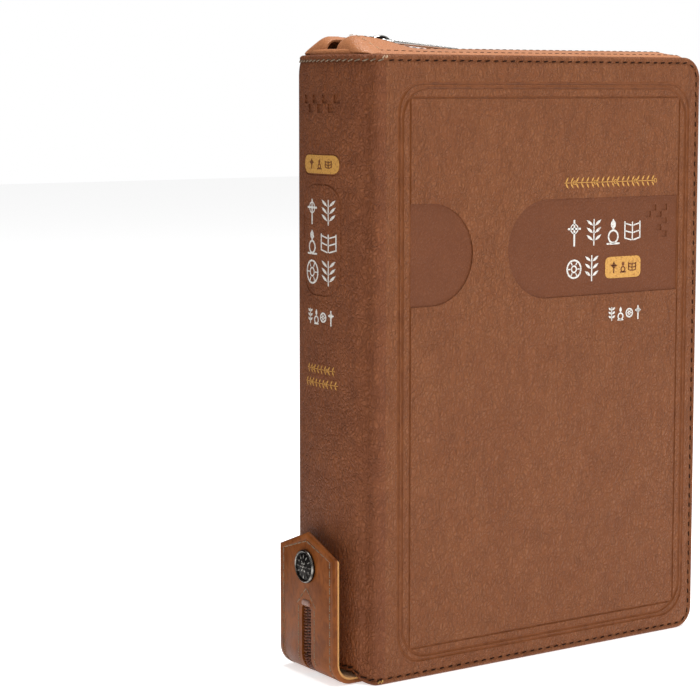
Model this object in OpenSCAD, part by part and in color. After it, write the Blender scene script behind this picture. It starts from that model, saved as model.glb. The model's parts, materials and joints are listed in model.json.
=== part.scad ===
// Zip-around leather Bible: padded leather case, gusset with coil zip, snap tab at the spine's tail.
// +Z is up the spine, +X runs from the spine to the fore-edge, and the front cover faces -Y.
// The origin is under the middle of the whole book, on the plane that its tail edges stand on.

/* [Case] */
// Height of the covers, tail edge to head edge
cover_height = 240; // [200:1:260]
// Width of a cover, hinge line to fore-edge
cover_width = 165; // [130:1:180]
// Outside thickness over both covers
case_thickness = 54; // [40:1:64]
// Radius of the covers' outer corners
corner_radius = 8.5; // [4:0.5:14]
// Thickness of the case leather
leather = 1.6; // [1:0.1:2.4]
// Depth of the leather turned in round a cover's edge
turn_in = 4.4; // [3.5:0.1:6]
// How far the spine bulges past the hinge line
spine_bulge = 6.5; // [3:0.5:12]
// Half-width of the rounded part of the spine, between the joint grooves
spine_half = 20.3; // [16:0.1:23]

/* [Block] */
// Thickness of the sewn pages
block_thickness = 40.6; // [28:0.2:46]
// Width of one page
page_width = 156; // [120:1:170]
// Gap between the covers' edges and the pages at head and tail
page_margin = 5; // [4:0.5:10]
// Radius of the pages' outer corners
page_radius = 6; // [2:0.5:10]

/* [Zip] */
// Width of one half of the coil
coil_width = 2.4; // [1.5:0.1:3.5]
// Height of the coil over its tape
coil_height = 2.3; // [1.5:0.1:3]
// Distance of the slider from the hinge line
slider_place = 20; // [14:1:60]
// Length of the slider
slider_length = 13; // [9:0.5:16]
// Length of the pull from its pin
pull_length = 36; // [20:1:50]
// Angle at which the pull rests, nose down
pull_droop = 4; // [0:0.5:6]

/* [Tab] */
// Width of the snap tab
tab_width = 39; // [28:1:40]
// Height of the tab's shoulders above the tail
tab_shoulder = 49.3; // [36:0.1:60]
// Height of the tab's point above the tail
tab_point = 56.8; // [44:0.1:70]
// Height of the snap's centre above the tail
snap_height = 43.6; // [30:0.1:52]
// Radius of the snap's cap
snap_radius = 6.5; // [5:0.1:8]
// Height of the top of the zip slot above the tail
slot_top = 30.5; // [22:0.5:36]

/* [Hidden] */
$fn = 64;
gap = 0.05;                          // between layers glued or sewn together
clear = 0.5;                         // between pieces that move apart
half = case_thickness / 2;
spine_radius = (half * half + spine_bulge * spine_bulge) / (2 * spine_bulge);
spine_centre = spine_radius - spine_bulge;
cap_dome = 2.1;                      // height of the snap's domed cap
board = 2;
lining = 0.7;
board_face = half - leather - gap;   // outer face of the board
lining_face = board_face - board - gap;
inner_face = lining_face - lining;   // inner face of a cover
board_inset = 3;
spine_board = 1.2;
spine_liner = 0.5;
block_radius = spine_radius - leather - spine_board - spine_liner - 0.8;
block_half = block_thickness / 2;
block_edge = spine_centre - sqrt(block_radius * block_radius - block_half * block_half);
page_bottom = page_margin;
page_top = cover_height - page_margin + 1;
leaf_start = block_edge + 0.4;       // spine edge of the loose leaves
leaf_end = block_edge + page_width - 0.2;
endpaper = 0.3;
endpaper_face = inner_face - 0.4;    // outer face of the endpaper
leaves = 0.7;
leaves_face = endpaper_face - endpaper - 0.3;
ribbon = 0.25;
ribbon_width = 6;
zip_low = 0.3;                       // lowest face of the coil at the tail
zip_high = cover_height + 2.1;       // highest face of the coil at the head
zip_far = cover_width + 0.2;         // outer face of the coil at the fore-edge
zip_corner = corner_radius + 0.8;
coil_gap = 0.6;                      // half of the gap left between the two coils
tape = 0.5;
tape_edge = 9;
tape_inset = coil_height + gap;
gusset = 1.4;
gusset_inset = 0.7;                  // below the coil's outer face
gusset_lip = 6.5;                    // the gusset's edge beside the coil
gusset_start = 6.3;                  // the gusset's end beside the spine
gusset_rise = 4.4;                   // extra height of the gusset beside the spine
fold_lip = 3.6;                      // the folds' edges beside the coil's end
fold_reach = 20;                     // the folds' outer edges
roll_thick = 1.8;
gusset_fall = 36;                    // where the gusset has come down again
plate = 1.2;                         // slider plates
plate_half = 5;
plate_gap = 0.4;
plate_top = zip_high + plate_gap;
plate_bottom = zip_high - tape_inset - tape - plate_gap;
pin_x = slider_place + 1.5;
pin_z = cover_height + 5.6;
pin_r = 0.55;
bridge_half = 1.4;
arm_half = 2.6;
bar_half = 3;
bar_thick = 1.6;
tab_out = spine_bulge + 6.4;         // outer face of the tab, past the hinge line
mid_x = (zip_far - tab_out - gap - cap_dome) / 2;  // middle of the whole book, snap to fore-edge
strap_bend = 8.4;
strap_low = 0.3;
strap_top = strap_low + strap_bend;  // where the tab starts to swing
strap_end = 5.8;
strap_lining = 0.7;
slot_half = 3.2;
chain_half = 2.9;
spine_tail = 4;                      // the spine's tail edge clears the strap

// A box given by its limits
module block(x0, x1, y0, y1, z0, z1)
    translate([x0, y0, z0]) cube([x1 - x0, y1 - y0, z1 - z0]);

// The sliver outside a rounded corner, at the head or tail corner of the fore-edge
module corner_cut(x, z, r, up, y0, y1)
    difference() {
        block(x - r, x + 1, y0 - 1, y1 + 1, up ? z - r : z - 1, up ? z + 1 : z + r);
        translate([x - r, y0 - 2, up ? z - r : z + r]) rotate([-90, 0, 0])
            cylinder(r = r, h = y1 - y0 + 4);
    }

// A flat sheet with its two fore-edge corners rounded
module sheet(x0, x1, y0, y1, z0, z1, r)
    difference() {
        block(x0, x1, y0, y1, z0, z1);
        corner_cut(x1, z1, r, true, y0, y1);
        corner_cut(x1, z0, r, false, y0, y1);
    }

// A U-shaped band that follows the zip's path round head, fore-edge and tail
module zip_band(depth, thick, y0, y1)
    difference() {
        sheet(gusset_start, zip_far - depth, y0, y1, zip_low + depth, zip_high - depth,
              zip_corner - depth);
        sheet(gusset_start - 1, zip_far - depth - thick, y0 - 1, y1 + 1,
              zip_low + depth + thick, zip_high - depth - thick, zip_corner - depth - thick);
    }

// A vertical shell that follows the rounded spine
module spine_shell(depth, thick, reach, z0, z1)
    intersection() {
        translate([spine_centre, 0, z0]) difference() {
            cylinder(r = spine_radius - depth, h = z1 - z0, $fn = 128);
            translate([0, 0, -1])
                cylinder(r = spine_radius - depth - thick, h = z1 - z0 + 2, $fn = 128);
        }
        block(-2 * spine_bulge, spine_centre / 2, -reach, reach, z0, z1);
    }

// Upright pages cut to the rounded back and the hollow fore-edge
module page_block(reach, z0, z1)
    difference() {
        sheet(-spine_bulge, block_edge + page_width, -reach, reach, z0, z1, page_radius);
        difference() {
            block(-2 * spine_bulge, spine_centre / 2, -half, half, z0 - 1, z1 + 1);
            translate([spine_centre, 0, z0 - 2])
                cylinder(r = block_radius, h = z1 - z0 + 4, $fn = 128);
        }
        translate([spine_centre + page_width, 0, z0 - 1])
            cylinder(r = block_radius, h = z1 - z0 + 2, $fn = 128);
    }

// Everything on the front is mirrored for the back
module back_side() mirror([0, 1, 0]) children();
module placed() translate([-mid_x, 0, 0]) children();

module text_block() color("#EDE3CC") placed()
    page_block(block_half, page_bottom, page_top);

// The joint groove's section, from the rounded spine to the edge of the cover
groove = [[-2.95, -20.2], [-1.5, -21.4], [-1.1, -23.4], [-1.0, -25.2], [-0.35, -26.7],
          [1.1, -26.7], [0.5, -25.2], [0.4, -23.4], [-0.1, -22.2], [-1.3, -20.2]];

module spine_leather() color("#7A4630") placed() {
    spine_shell(0, leather, spine_half, spine_tail, cover_height);
    for (side = [0, 1]) mirror([0, side, 0])
        intersection() {
            linear_extrude(height = cover_height) polygon(groove);
            block(-half, -0.3, -half, 0, 0, cover_height);
        }
}

module spine_board() color("#8C8478") placed()
    spine_shell(leather + gap, spine_board, spine_half - 0.8, spine_tail + 1, cover_height - 2);

module spine_liner() color("#D9D2C2") placed()
    spine_shell(leather + spine_board + 2 * gap, spine_liner, spine_half - 1.6,
                spine_tail + 2, cover_height - 3);

// A sewn band over the end of the block's back
module band(z0, z1) intersection() {
    translate([spine_centre, 0, z0]) difference() {
        cylinder(r = block_radius - 0.1, h = z1 - z0, $fn = 128);
        translate([0, 0, -1]) cylinder(r = block_radius - 2.4, h = z1 - z0 + 2, $fn = 128);
    }
    block(-2 * spine_bulge, spine_centre / 2, 1 - block_half, block_half - 1, z0, z1);
}

module head_band() color("#B98A45") placed() band(page_top + gap, page_top + 2);
module tail_band() color("#B98A45") placed() band(page_bottom - 1.2, page_bottom - gap);

// A ribbon marker lying between the block and the loose leaves
module ribbon_strip(lean) back_side()
    translate([0, block_half + 0.15, 0]) rotate([90, 0, 0]) mirror([0, 0, 1])
        linear_extrude(height = ribbon)
            polygon([[8, page_top], [8 + ribbon_width, page_top],
                     [8 + lean + ribbon_width, page_bottom], [8 + lean + ribbon_width / 2, page_bottom + 4],
                     [8 + lean, page_bottom]]);

module ribbon_front() color("#7E1F26") placed() ribbon_strip(60);
module ribbon_back() color("#B98A45") placed() back_side() ribbon_strip(40);

// The lower half of the snap, riveted through the spine
module snap_stud() color("#B8B4AC") placed()
    translate([-spine_bulge - gap, 0, snap_height]) rotate([0, -90, 0]) {
        cylinder(r = 4.4, h = 0.8);
        cylinder(r = 1.9, h = 2.9);
        translate([0, 0, 2.3]) cylinder(r = 2.2, h = 1);
    }

// At the head each gusset ends in a rounded fold, with the coil's end between the two
fold_outer = [[-1.6, 2.4], [-1.3, 4.0], [-0.3, 5.3], [1.4, 6.1], [3.4, 6.3], [5.8, 6.2]];
fold_inner = [[5.8, 4.8], [3.4, 4.9], [1.9, 4.7], [0.8, 4.2], [0.1, 3.3], [-0.1, 2.4]];
module head_fold()
    translate([0, -fold_lip, cover_height]) rotate([90, 0, 0])
        linear_extrude(height = fold_reach - fold_lip) polygon(concat(fold_outer, fold_inner));

module head_fold_front() color("#8A5235") placed() head_fold();
module head_fold_back() color("#8A5235") placed() back_side() head_fold();

// A second rolled edge stands just inside the spine's head
module spine_head_roll() color("#8A5235") placed()
    spine_shell(leather + spine_board + spine_liner + 3 * gap, roll_thick, spine_half - 2,
                cover_height - 1.8, cover_height + 2.2);

module head_chain_end() color("#3E2A20") placed()
    block(-0.9, gusset_start - clear, -chain_half, chain_half, zip_high - coil_height, zip_high);

// Section of the strap that turns under the tail, thick deep from its outer face
module strap_section(depth, thick) {
    intersection() {
        translate([strap_bend - tab_out, 0, strap_top]) rotate([90, 0, 0]) difference() {
            cylinder(r = strap_bend - depth, h = tab_width, center = true);
            cylinder(r = strap_bend - depth - thick, h = tab_width + 2, center = true);
        }
        block(-tab_out - 1, strap_bend - tab_out, -tab_width, tab_width, 0, strap_top);
    }
    block(strap_bend - tab_out, strap_end, -tab_width / 2, tab_width / 2,
          strap_low + depth, strap_low + depth + thick);
}

module tail_strap() color("#7A4325") placed() difference() {
    strap_section(0, leather);
    block(-tab_out - 1, strap_end + 1, -slot_half, slot_half, -1, strap_top + 1);
}

module tail_strap_lining() color("#C58F4B") placed()
    strap_section(leather + gap, strap_lining);

module tail_chain() color("#3E2A20") placed() intersection() {
    strap_section(0.1, leather - 0.2);
    block(-tab_out - 1, strap_end + 1, -chain_half, chain_half, -1, strap_top + 1);
}

// One cover, built on the front and mirrored for the back
module cover_leather() difference() {
    sheet(0.3, cover_width, -half, turn_in - half, 0, cover_height, corner_radius);
    sheet(-1, cover_width - leather, leather - half, half, leather, cover_height - leather,
          corner_radius - leather);
}
module cover_board()
    sheet(1.2, cover_width - board_inset, -board_face, board - board_face,
          board_inset, cover_height - board_inset, corner_radius - board_inset);
module cover_lining()
    sheet(0.8, cover_width - board_inset + 1, -lining_face, lining - lining_face,
          board_inset - 1, cover_height - board_inset + 1, corner_radius - board_inset + 1);

// Outer face of the head gusset above the coil's path, by distance from the hinge line
function rise(x) = x > gusset_fall ? 0
    : gusset_rise * (1 + cos(180 * (x - gusset_start) / (gusset_fall - gusset_start))) / 2;
head_line = [for (i = [0:8]) gusset_start + i * (gusset_fall - gusset_start) / 8];
straight_end = zip_far - zip_corner;
module cover_gusset_head() {
    top = zip_high - gusset_inset;
    translate([0, -gusset_lip, 0]) rotate([90, 0, 0])
        linear_extrude(height = half - turn_in - gusset_lip - gap)
            polygon(concat(
                [for (x = head_line) [x, top + rise(x)]], [[straight_end, top]],
                [[straight_end, top - gusset]],
                [for (i = [8:-1:0]) [head_line[i], top - gusset + rise(head_line[i])]]));
}
module gusset_run(x0, x1, z0, z1) intersection() {
    zip_band(gusset_inset, gusset, turn_in + gap - half, -gusset_lip);
    block(x0, x1, -half, 0, z0, z1);
}
module cover_gusset_fore() gusset_run(straight_end + gap, zip_far, -1, zip_high + 1);
module cover_gusset_tail() gusset_run(gusset_start, straight_end, -1, half);
module cover_tape() zip_band(tape_inset, tape, -tape_edge, -coil_gap - 0.6);
module cover_coil() zip_band(0, coil_height, -coil_gap - coil_width, -coil_gap);

module front_leather() color("#8A553C") placed() cover_leather();
module front_board() color("#8C8478") placed() cover_board();
module front_lining() color("#6B4632") placed() cover_lining();
module front_gusset_head() color("#8A5235") placed() cover_gusset_head();
module front_gusset_fore() color("#8A5235") placed() cover_gusset_fore();
module front_gusset_tail() color("#8A5235") placed() cover_gusset_tail();
module front_tape() color("#6A4230") placed() cover_tape();
module front_coil() color("#3E2A20") placed() cover_coil();

module back_leather() color("#8A553C") placed() back_side() cover_leather();
module back_board() color("#8C8478") placed() back_side() cover_board();
module back_lining() color("#6B4632") placed() back_side() cover_lining();
module back_gusset_head() color("#8A5235") placed() back_side() cover_gusset_head();
module back_gusset_fore() color("#8A5235") placed() back_side() cover_gusset_fore();
module back_gusset_tail() color("#8A5235") placed() back_side() cover_gusset_tail();
module back_tape() color("#6A4230") placed() back_side() cover_tape();
module back_coil() color("#3E2A20") placed() back_side() cover_coil();

// Loose leaves at the front, mirrored for the back
module leaf(face, thick)
    sheet(leaf_start, leaf_end, -face, thick - face, page_bottom, page_top, page_radius);

module front_endpaper() color("#E7DCC4") placed() leaf(endpaper_face, endpaper);
module front_leaves() color("#EDE3CC") placed() leaf(leaves_face, leaves);
module back_endpaper() color("#E7DCC4") placed() back_side() leaf(endpaper_face, endpaper);
module back_leaves() color("#EDE3CC") placed() back_side() leaf(leaves_face, leaves);

// Two plates joined by the wedge that parts the coils
module slider_plate(z) intersection() {
    translate([slider_place, 0, z]) {
        translate([-slider_length / 2, -plate_half + 1.2, 0])
            cube([slider_length, 2 * plate_half - 2.4, plate]);
        translate([-slider_length / 2 + 2.5, -plate_half, 0])
            cube([slider_length - 5, 2 * plate_half, plate]);
    }
    translate([slider_place, 0, z]) cylinder(r = slider_length / 2, h = plate);
}
module slider_body() color("#6E6A64") placed() {
    slider_plate(plate_top);
    slider_plate(plate_bottom - plate);
    block(slider_place - slider_length / 2 + 1, slider_place - slider_length / 2 + 4, -0.3, 0.3,
          plate_bottom - 0.4, plate_top + 0.4);
}

module slider_bridge() color("#6E6A64") placed() {
    bridge_low = plate_top + plate + gap;
    difference() {
        block(pin_x - 2.4, pin_x + 2.4, -bridge_half, bridge_half, bridge_low, pin_z + 1.5);
        block(pin_x - 1.2, pin_x + 1.2, -half, half, bridge_low + 0.6, pin_z + 0.7);
    }
}

// The pull hangs on its pin and droops to rest on the coil
module drooped() translate([pin_x, 0, pin_z]) rotate([0, pull_droop, 0]) children();

module pull_link() color("#B9B7B2") placed() drooped() {
    rotate([90, 0, 0]) cylinder(r = pin_r, h = 2 * arm_half, center = true);
    for (side = [-1, 1])
        block(-0.6, 5.6, side * (arm_half - 0.35) - 0.35, side * (arm_half - 0.35) + 0.35, -0.6, 0.6);
}

module pull_bar() color("#C9C8C4") placed() drooped() difference() {
    union() {
        block(3.6, pull_length - bar_half, -bar_half, bar_half, -bar_thick / 2, bar_thick / 2);
        translate([pull_length - bar_half, 0, -bar_thick / 2]) cylinder(r = bar_half, h = bar_thick);
    }
    for (side = [-1, 1])
        block(0, 5.65, side * (arm_half - 0.35) - 0.4, side * (arm_half - 0.35) + 0.4, -1, 1);
}

// Outline of the tab from its swing line up to the point
tab_outline = [[strap_top, -tab_width / 2], [tab_shoulder, -tab_width / 2], [tab_point, 0],
               [tab_shoulder, tab_width / 2], [strap_top, tab_width / 2]];
module tab_sheet(depth, thick)
    translate([depth + thick - tab_out, 0, 0.3]) rotate([0, -90, 0])
        linear_extrude(height = thick) polygon(tab_outline);

module tab_leather() color("#7A4325") placed() difference() {
    tab_sheet(0, leather);
    block(-tab_out - 1, 0, -slot_half, slot_half, 0, slot_top);
    translate([0, 0, snap_height]) rotate([0, -90, 0]) cylinder(r = 1.5, h = 2 * tab_out);
}

module tab_lining() color("#C58F4B") placed() difference() {
    tab_sheet(leather + gap, strap_lining);
    translate([0, 0, snap_height]) rotate([0, -90, 0]) cylinder(r = 1.5, h = 2 * tab_out);
}

module tab_chain() color("#3E2A20") placed()
    block(0.1 - tab_out, leather - 0.1 - tab_out, -chain_half, chain_half,
          strap_top + 0.3, slot_top - 2.5);

module tab_stop() color("#8C5A47") placed()
    block(0.1 - tab_out, leather - 0.1 - tab_out, -chain_half, chain_half,
          slot_top - 2.4, slot_top - 0.2);

// A domed cap whose shank passes through the tab into the socket
module snap_cap() color("#5C5850") placed()
    translate([-tab_out - gap, 0, snap_height]) rotate([0, -90, 0]) {
        rotate_extrude() polygon([[0, 0], [snap_radius, 0], [snap_radius, 0.9], [snap_radius - 0.6, 1.5],
                                  [4.2, 1.9], [2.2, 2.05], [0, cap_dome]]);
        translate([0, 0, -2.3]) cylinder(r = 1.4, h = 2.4);
    }

module snap_socket() color("#B8B4AC") placed()
    translate([leather + strap_lining + 2 * gap - tab_out, 0, snap_height]) rotate([0, 90, 0])
        difference() {
            cylinder(r = 4.8, h = 2);
            translate([0, 0, 0.5]) cylinder(r = 2.9, h = 2);
        }

text_block();
spine_leather();
spine_board();
spine_liner();
head_band();
tail_band();
ribbon_front();
ribbon_back();
snap_stud();
head_fold_front();
head_fold_back();
spine_head_roll();
head_chain_end();
tail_strap();
tail_strap_lining();
tail_chain();
front_leather();
front_board();
front_lining();
front_gusset_head();
front_gusset_fore();
front_gusset_tail();
front_tape();
front_coil();
back_leather();
back_board();
back_lining();
back_gusset_head();
back_gusset_fore();
back_gusset_tail();
back_tape();
back_coil();
front_endpaper();
front_leaves();
back_endpaper();
back_leaves();
slider_body();
slider_bridge();
pull_link();
pull_bar();
tab_leather();
tab_lining();
tab_chain();
tab_stop();
snap_cap();
snap_socket();
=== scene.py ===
import json
import math

import bmesh
import bpy
from bpy.props import FloatProperty, FloatVectorProperty, PointerProperty
from mathutils import Matrix, Vector


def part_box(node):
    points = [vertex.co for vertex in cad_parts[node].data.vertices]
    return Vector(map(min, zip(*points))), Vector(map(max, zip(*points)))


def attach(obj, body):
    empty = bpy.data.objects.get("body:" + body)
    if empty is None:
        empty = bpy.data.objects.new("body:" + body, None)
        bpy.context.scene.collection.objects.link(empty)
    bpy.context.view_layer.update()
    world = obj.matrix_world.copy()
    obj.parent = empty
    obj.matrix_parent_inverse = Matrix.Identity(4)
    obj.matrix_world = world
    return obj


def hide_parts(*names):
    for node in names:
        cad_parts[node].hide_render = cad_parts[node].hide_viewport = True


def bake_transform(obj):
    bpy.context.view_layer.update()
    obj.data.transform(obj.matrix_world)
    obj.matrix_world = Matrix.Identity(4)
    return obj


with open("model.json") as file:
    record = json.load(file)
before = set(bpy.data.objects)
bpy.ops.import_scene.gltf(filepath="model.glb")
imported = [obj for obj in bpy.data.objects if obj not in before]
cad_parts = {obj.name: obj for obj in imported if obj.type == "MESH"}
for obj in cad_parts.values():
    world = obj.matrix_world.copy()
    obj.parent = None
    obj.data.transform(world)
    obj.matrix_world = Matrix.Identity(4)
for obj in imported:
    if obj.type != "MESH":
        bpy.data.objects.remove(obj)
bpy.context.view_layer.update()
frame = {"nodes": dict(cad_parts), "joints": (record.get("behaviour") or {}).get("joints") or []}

bl_info = {
    "name": "Zip-around Bible",
    "version": (1, 0, 0),
    "blender": (4, 5, 0),
    "location": "View3D > Sidebar > Bible",
    "description": "Leather case, zip, snap tab, pages and foil ornament of a zip-around Bible",
    "category": "Object",
}

MM = 0.001
JOINT = {j["name"]: j for j in frame["joints"]}
HINGE_X = JOINT["front_cover_hinge"]["pos_m"][0]


def span(node):
    """A CAD node's limits in millimetres: x0, x1, y0, y1, z0, z1."""
    low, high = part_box(node)
    return (low.x - HINGE_X) / MM, (high.x - HINGE_X) / MM, low.y / MM, high.y / MM, low.z / MM, high.z / MM


# The covers' size, and the spine's round back as an arc
_, WIDTH, FRONT, _, LOWEST, HIGHEST = span("front_leather")
HEIGHT = HIGHEST - LOWEST
HALF = -FRONT
CORNER = 8.5
BULGE = -span("spine_leather")[0]
ARC = (HALF**2 + BULGE**2) / (2 * BULGE)
ARC_X = ARC - BULGE
TAB_OUT = -span("tab_leather")[0]

# The zip's way: where it starts, its far side, its ends in height and the curve at the covers' corners
ZIP_START, ZIP_FAR, _, _, ZIP_LOW, ZIP_HIGH = span("front_coil")
ZIP_CORNER = 9.3

BOOK = "book_block"


def at(x, y, z):
    """A place from millimetres: x from the hinge line, y from the middle, z from the tail."""
    return Vector((HINGE_X + x * MM, y * MM, z * MM))


# ---------------------------------------------------------------- modelling by hand


def begin():
    """Object mode with nothing selected."""
    if bpy.context.object and bpy.context.object.mode != "OBJECT":
        bpy.ops.object.mode_set(mode="OBJECT")
    bpy.ops.object.select_all(action="DESELECT")


def active(ob):
    begin()
    ob.select_set(True)
    bpy.context.view_layer.objects.active = ob
    return ob


def edit(ob, mode="VERT"):
    active(ob)
    bpy.ops.object.mode_set(mode="EDIT")
    bpy.ops.mesh.select_mode(type=mode)
    return ob


def whole(ob, mode="VERT"):
    """Edit mode with all of the mesh selected."""
    edit(ob, mode)
    bpy.ops.mesh.select_all(action="SELECT")
    return ob


def pull_out(x=0.0, y=0.0, z=0.0, kind="region"):
    """Extrudes what is selected by a step in millimetres."""
    getattr(bpy.ops.mesh, f"extrude_{kind}_move")(TRANSFORM_OT_translate={"value": (x * MM, y * MM, z * MM)})


def sliced(ob, places, axis):
    """Adds cuts across the mesh at each place, square to an axis."""
    for place in places:
        whole(ob)
        bpy.ops.mesh.bisect(plane_co=place, plane_no=axis)
    begin()
    return ob


def flipped(ob):
    whole(ob)
    bpy.ops.mesh.flip_normals()
    begin()
    return ob


def pick(ob, mode, test):
    """Selects, in edit mode, the vertices, edges or faces whose middle passes the test."""
    bpy.ops.mesh.select_mode(type=mode)
    bpy.ops.mesh.select_all(action="DESELECT")
    bm = bmesh.from_edit_mesh(ob.data)
    items, middle = {
        "VERT": (bm.verts, lambda v: v.co),
        "EDGE": (bm.edges, lambda e: (e.verts[0].co + e.verts[1].co) / 2),
        "FACE": (bm.faces, lambda f: f.calc_center_median()),
    }[mode]
    for item in items:
        if test(middle(item), item):
            item.select_set(True)
    bm.select_flush_mode()
    bmesh.update_edit_mesh(ob.data)


def apply_all(ob):
    active(ob)
    bpy.ops.object.transform_apply(location=True, rotation=True, scale=True)
    return ob


def modified(ob, kind, **settings):
    """Adds a modifier and applies it."""
    active(ob)
    m = ob.modifiers.new(kind.title(), kind)
    for k, v in settings.items():
        setattr(m, k, v)
    bpy.ops.object.modifier_apply(modifier=m.name)
    return ob


def outward(ob, merge=1e-6):
    whole(ob)
    bpy.ops.mesh.remove_doubles(threshold=merge)
    bpy.ops.mesh.normals_make_consistent(inside=False)
    begin()
    return ob


def drawn(name, points, closed=False):
    """A line drawn point by point: one vertex, extruded from each point to the next."""
    begin()
    bpy.ops.mesh.primitive_plane_add(size=0.001, location=(0, 0, 0))
    ob = bpy.context.object
    ob.name = name
    whole(ob)
    bpy.ops.mesh.merge(type="CENTER")
    bpy.ops.transform.translate(value=points[0])
    for a, b in zip(points, points[1:]):
        bpy.ops.mesh.extrude_region_move(TRANSFORM_OT_translate={"value": b - a})
    if closed:
        pick(ob, "VERT", lambda c, v: len(v.link_edges) == 1)
        bpy.ops.mesh.edge_face_add()
    begin()
    return ob


def tube(name, points, radius, closed=False, sides=3):
    """A round bar along a drawn line."""
    ob = drawn(name, points, closed)
    active(ob)
    bpy.ops.object.convert(target="CURVE")
    ob = bpy.context.object
    ob.data.bevel_depth = radius
    ob.data.bevel_resolution = sides
    ob.data.use_fill_caps = not closed
    bpy.ops.object.convert(target="MESH")
    return outward(bpy.context.object)


def box(x0, x1, y0, y1, z0, z1, bevel=0.0, segments=2):
    """A block from its limits in millimetres, with its edges rounded."""
    begin()
    a, b = at(x0, y0, z0), at(x1, y1, z1)
    bpy.ops.mesh.primitive_cube_add(size=1, location=(a + b) / 2)
    ob = bpy.context.object
    ob.scale = b - a
    apply_all(ob)
    if bevel:
        whole(ob, "EDGE")
        bpy.ops.mesh.bevel(offset=bevel * MM, segments=segments, affect="EDGES")
        begin()
    return ob


def rod(centre, axis, radius, length, sides=32, bevel=0.0):
    """A cylinder in millimetres along an axis."""
    begin()
    turn = Vector((0, 0, 1)).rotation_difference(Vector(axis)).to_euler()
    bpy.ops.mesh.primitive_cylinder_add(
        vertices=sides, radius=radius * MM, depth=length * MM, location=at(*centre), rotation=turn
    )
    ob = apply_all(bpy.context.object)
    if bevel:
        edit(ob, "EDGE")
        pick(ob, "EDGE", lambda c, e: any(len(f.verts) > 4 for f in e.link_faces))
        bpy.ops.mesh.bevel(offset=bevel * MM, segments=3, affect="EDGES")
        begin()
    return ob


def joined(name, parts):
    active(parts[0])
    for p in parts:
        p.select_set(True)
    if len(parts) > 1:
        bpy.ops.object.join()
    ob = bpy.context.object
    ob.name = ob.data.name = name
    return ob


def cut(ob, tool):
    """Takes the tool's shape out of the piece."""
    modified(ob, "BOOLEAN", operation="DIFFERENCE", object=tool, solver="EXACT")
    bpy.data.objects.remove(tool, do_unlink=True)
    return ob


def reshape(ob, move):
    """Moves every vertex by a rule that takes and gives a place in millimetres."""
    for v in ob.data.vertices:
        c = v.co
        v.co = at(*move((c.x - HINGE_X) / MM, c.y / MM, c.z / MM))
    ob.data.update()
    return ob


def mirrored(ob, name):
    """The same piece for the back."""
    active(ob)
    bpy.ops.object.duplicate()
    new = bpy.context.object
    new.name = new.data.name = name
    new.scale.y = -1
    apply_all(new)
    return outward(new)


def copies(name, pattern, places):
    """Copies of one small modelled shape, joined into one piece."""
    bm = bmesh.new()
    for m in places:
        start = len(bm.verts)
        bm.from_mesh(pattern.data)
        bm.verts.ensure_lookup_table()
        for v in bm.verts[start:]:
            v.co = m @ v.co
    mesh = bpy.data.meshes.new(name)
    bm.to_mesh(mesh)
    bm.free()
    ob = bpy.data.objects.new(name, mesh)
    bpy.context.scene.collection.objects.link(ob)
    bpy.data.objects.remove(pattern, do_unlink=True)
    return ob


def stood(place, x, y, z):
    """A matrix from a place and the directions that a small shape's axes take there."""
    m = Matrix((x, y, z)).transposed().to_4x4()
    m.translation = place
    return m


def turned(place, along, out):
    """A matrix whose x runs along a seam and whose z stands out of the leather."""
    x = along.normalized()
    z = (out - x * out.dot(x)).normalized()
    return stood(place, x, z.cross(x), z)


def smoothstep(t):
    t = min(max(t, 0.0), 1.0)
    return t * t * (3 - 2 * t)


def finish(ob, name, body, material, angle=35, replaces=()):
    """Names a piece, shades it, gives it its material and hangs it on its body."""
    apply_all(ob)
    ob.name = ob.data.name = name
    bpy.ops.object.shade_smooth_by_angle(angle=math.radians(angle))
    ob.data.materials.clear()
    ob.data.materials.append(material)
    if body:
        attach(ob, body)
    if replaces:
        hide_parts(*replaces)
    return ob


# ---------------------------------------------------------------- lines that seams follow


def arc(cx, cz, r, start, end, steps):
    return [
        (cx + r * math.cos(math.radians(a)), cz + r * math.sin(math.radians(a)))
        for a in [start + (end - start) * i / steps for i in range(steps + 1)]
    ]


def spaced(points, pitch, inset=0.5):
    """Places at an even pitch along a line of vectors, with the direction at each."""
    lengths = [(b - a).length for a, b in zip(points, points[1:])]
    total = sum(lengths)
    count = max(2, round(total / pitch))
    step = total / count
    out, k, done = [], 0, 0.0
    for i in range(count):
        want = (i + inset) * step
        while k < len(lengths) - 1 and done + lengths[k] < want:
            done += lengths[k]
            k += 1
        a, b = points[k], points[k + 1]
        out.append((a + (b - a) * ((want - done) / lengths[k]), (b - a).normalized()))
    return out


def thread(length=3.0, thick=0.7):
    """One stitch: a short length of thread with rounded ends."""
    begin()
    bpy.ops.mesh.primitive_uv_sphere_add(segments=8, ring_count=6, radius=MM / 2, location=(0, 0, 0),
                                         rotation=(0, math.pi / 2, 0))
    ob = apply_all(bpy.context.object)
    whole(ob)
    bpy.ops.transform.resize(value=(thick * 1.6, thick, thick * 0.9))
    for side in (-1, 1):
        pick(ob, "VERT", lambda c, v, s=side: c.x * s > 0.0001)
        bpy.ops.transform.translate(value=(side * (length - thick) / 2 * MM, 0, 0))
    begin()
    return ob


# ---------------------------------------------------------------- the leather skin

# Steps in from an edge and out from the leather: a rolled edge, the stitched channel, the padded face
RINGS = [(0.25, 0.57), (0.45, 0.47), (0.5, 0.16), (0.5, -0.13), (0.35, -0.37), (0.4, -0.04),
         (0.4, 0.28), (0.95, 0.22), (1.7, 0.22), (2.1, 0.12)]
ROLL = 1.5
TURN_IN = 4.3
SEAM_IN = 2.25
SEAM_DEEP = 0.5
FACE_EDGE = 5.6


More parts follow.
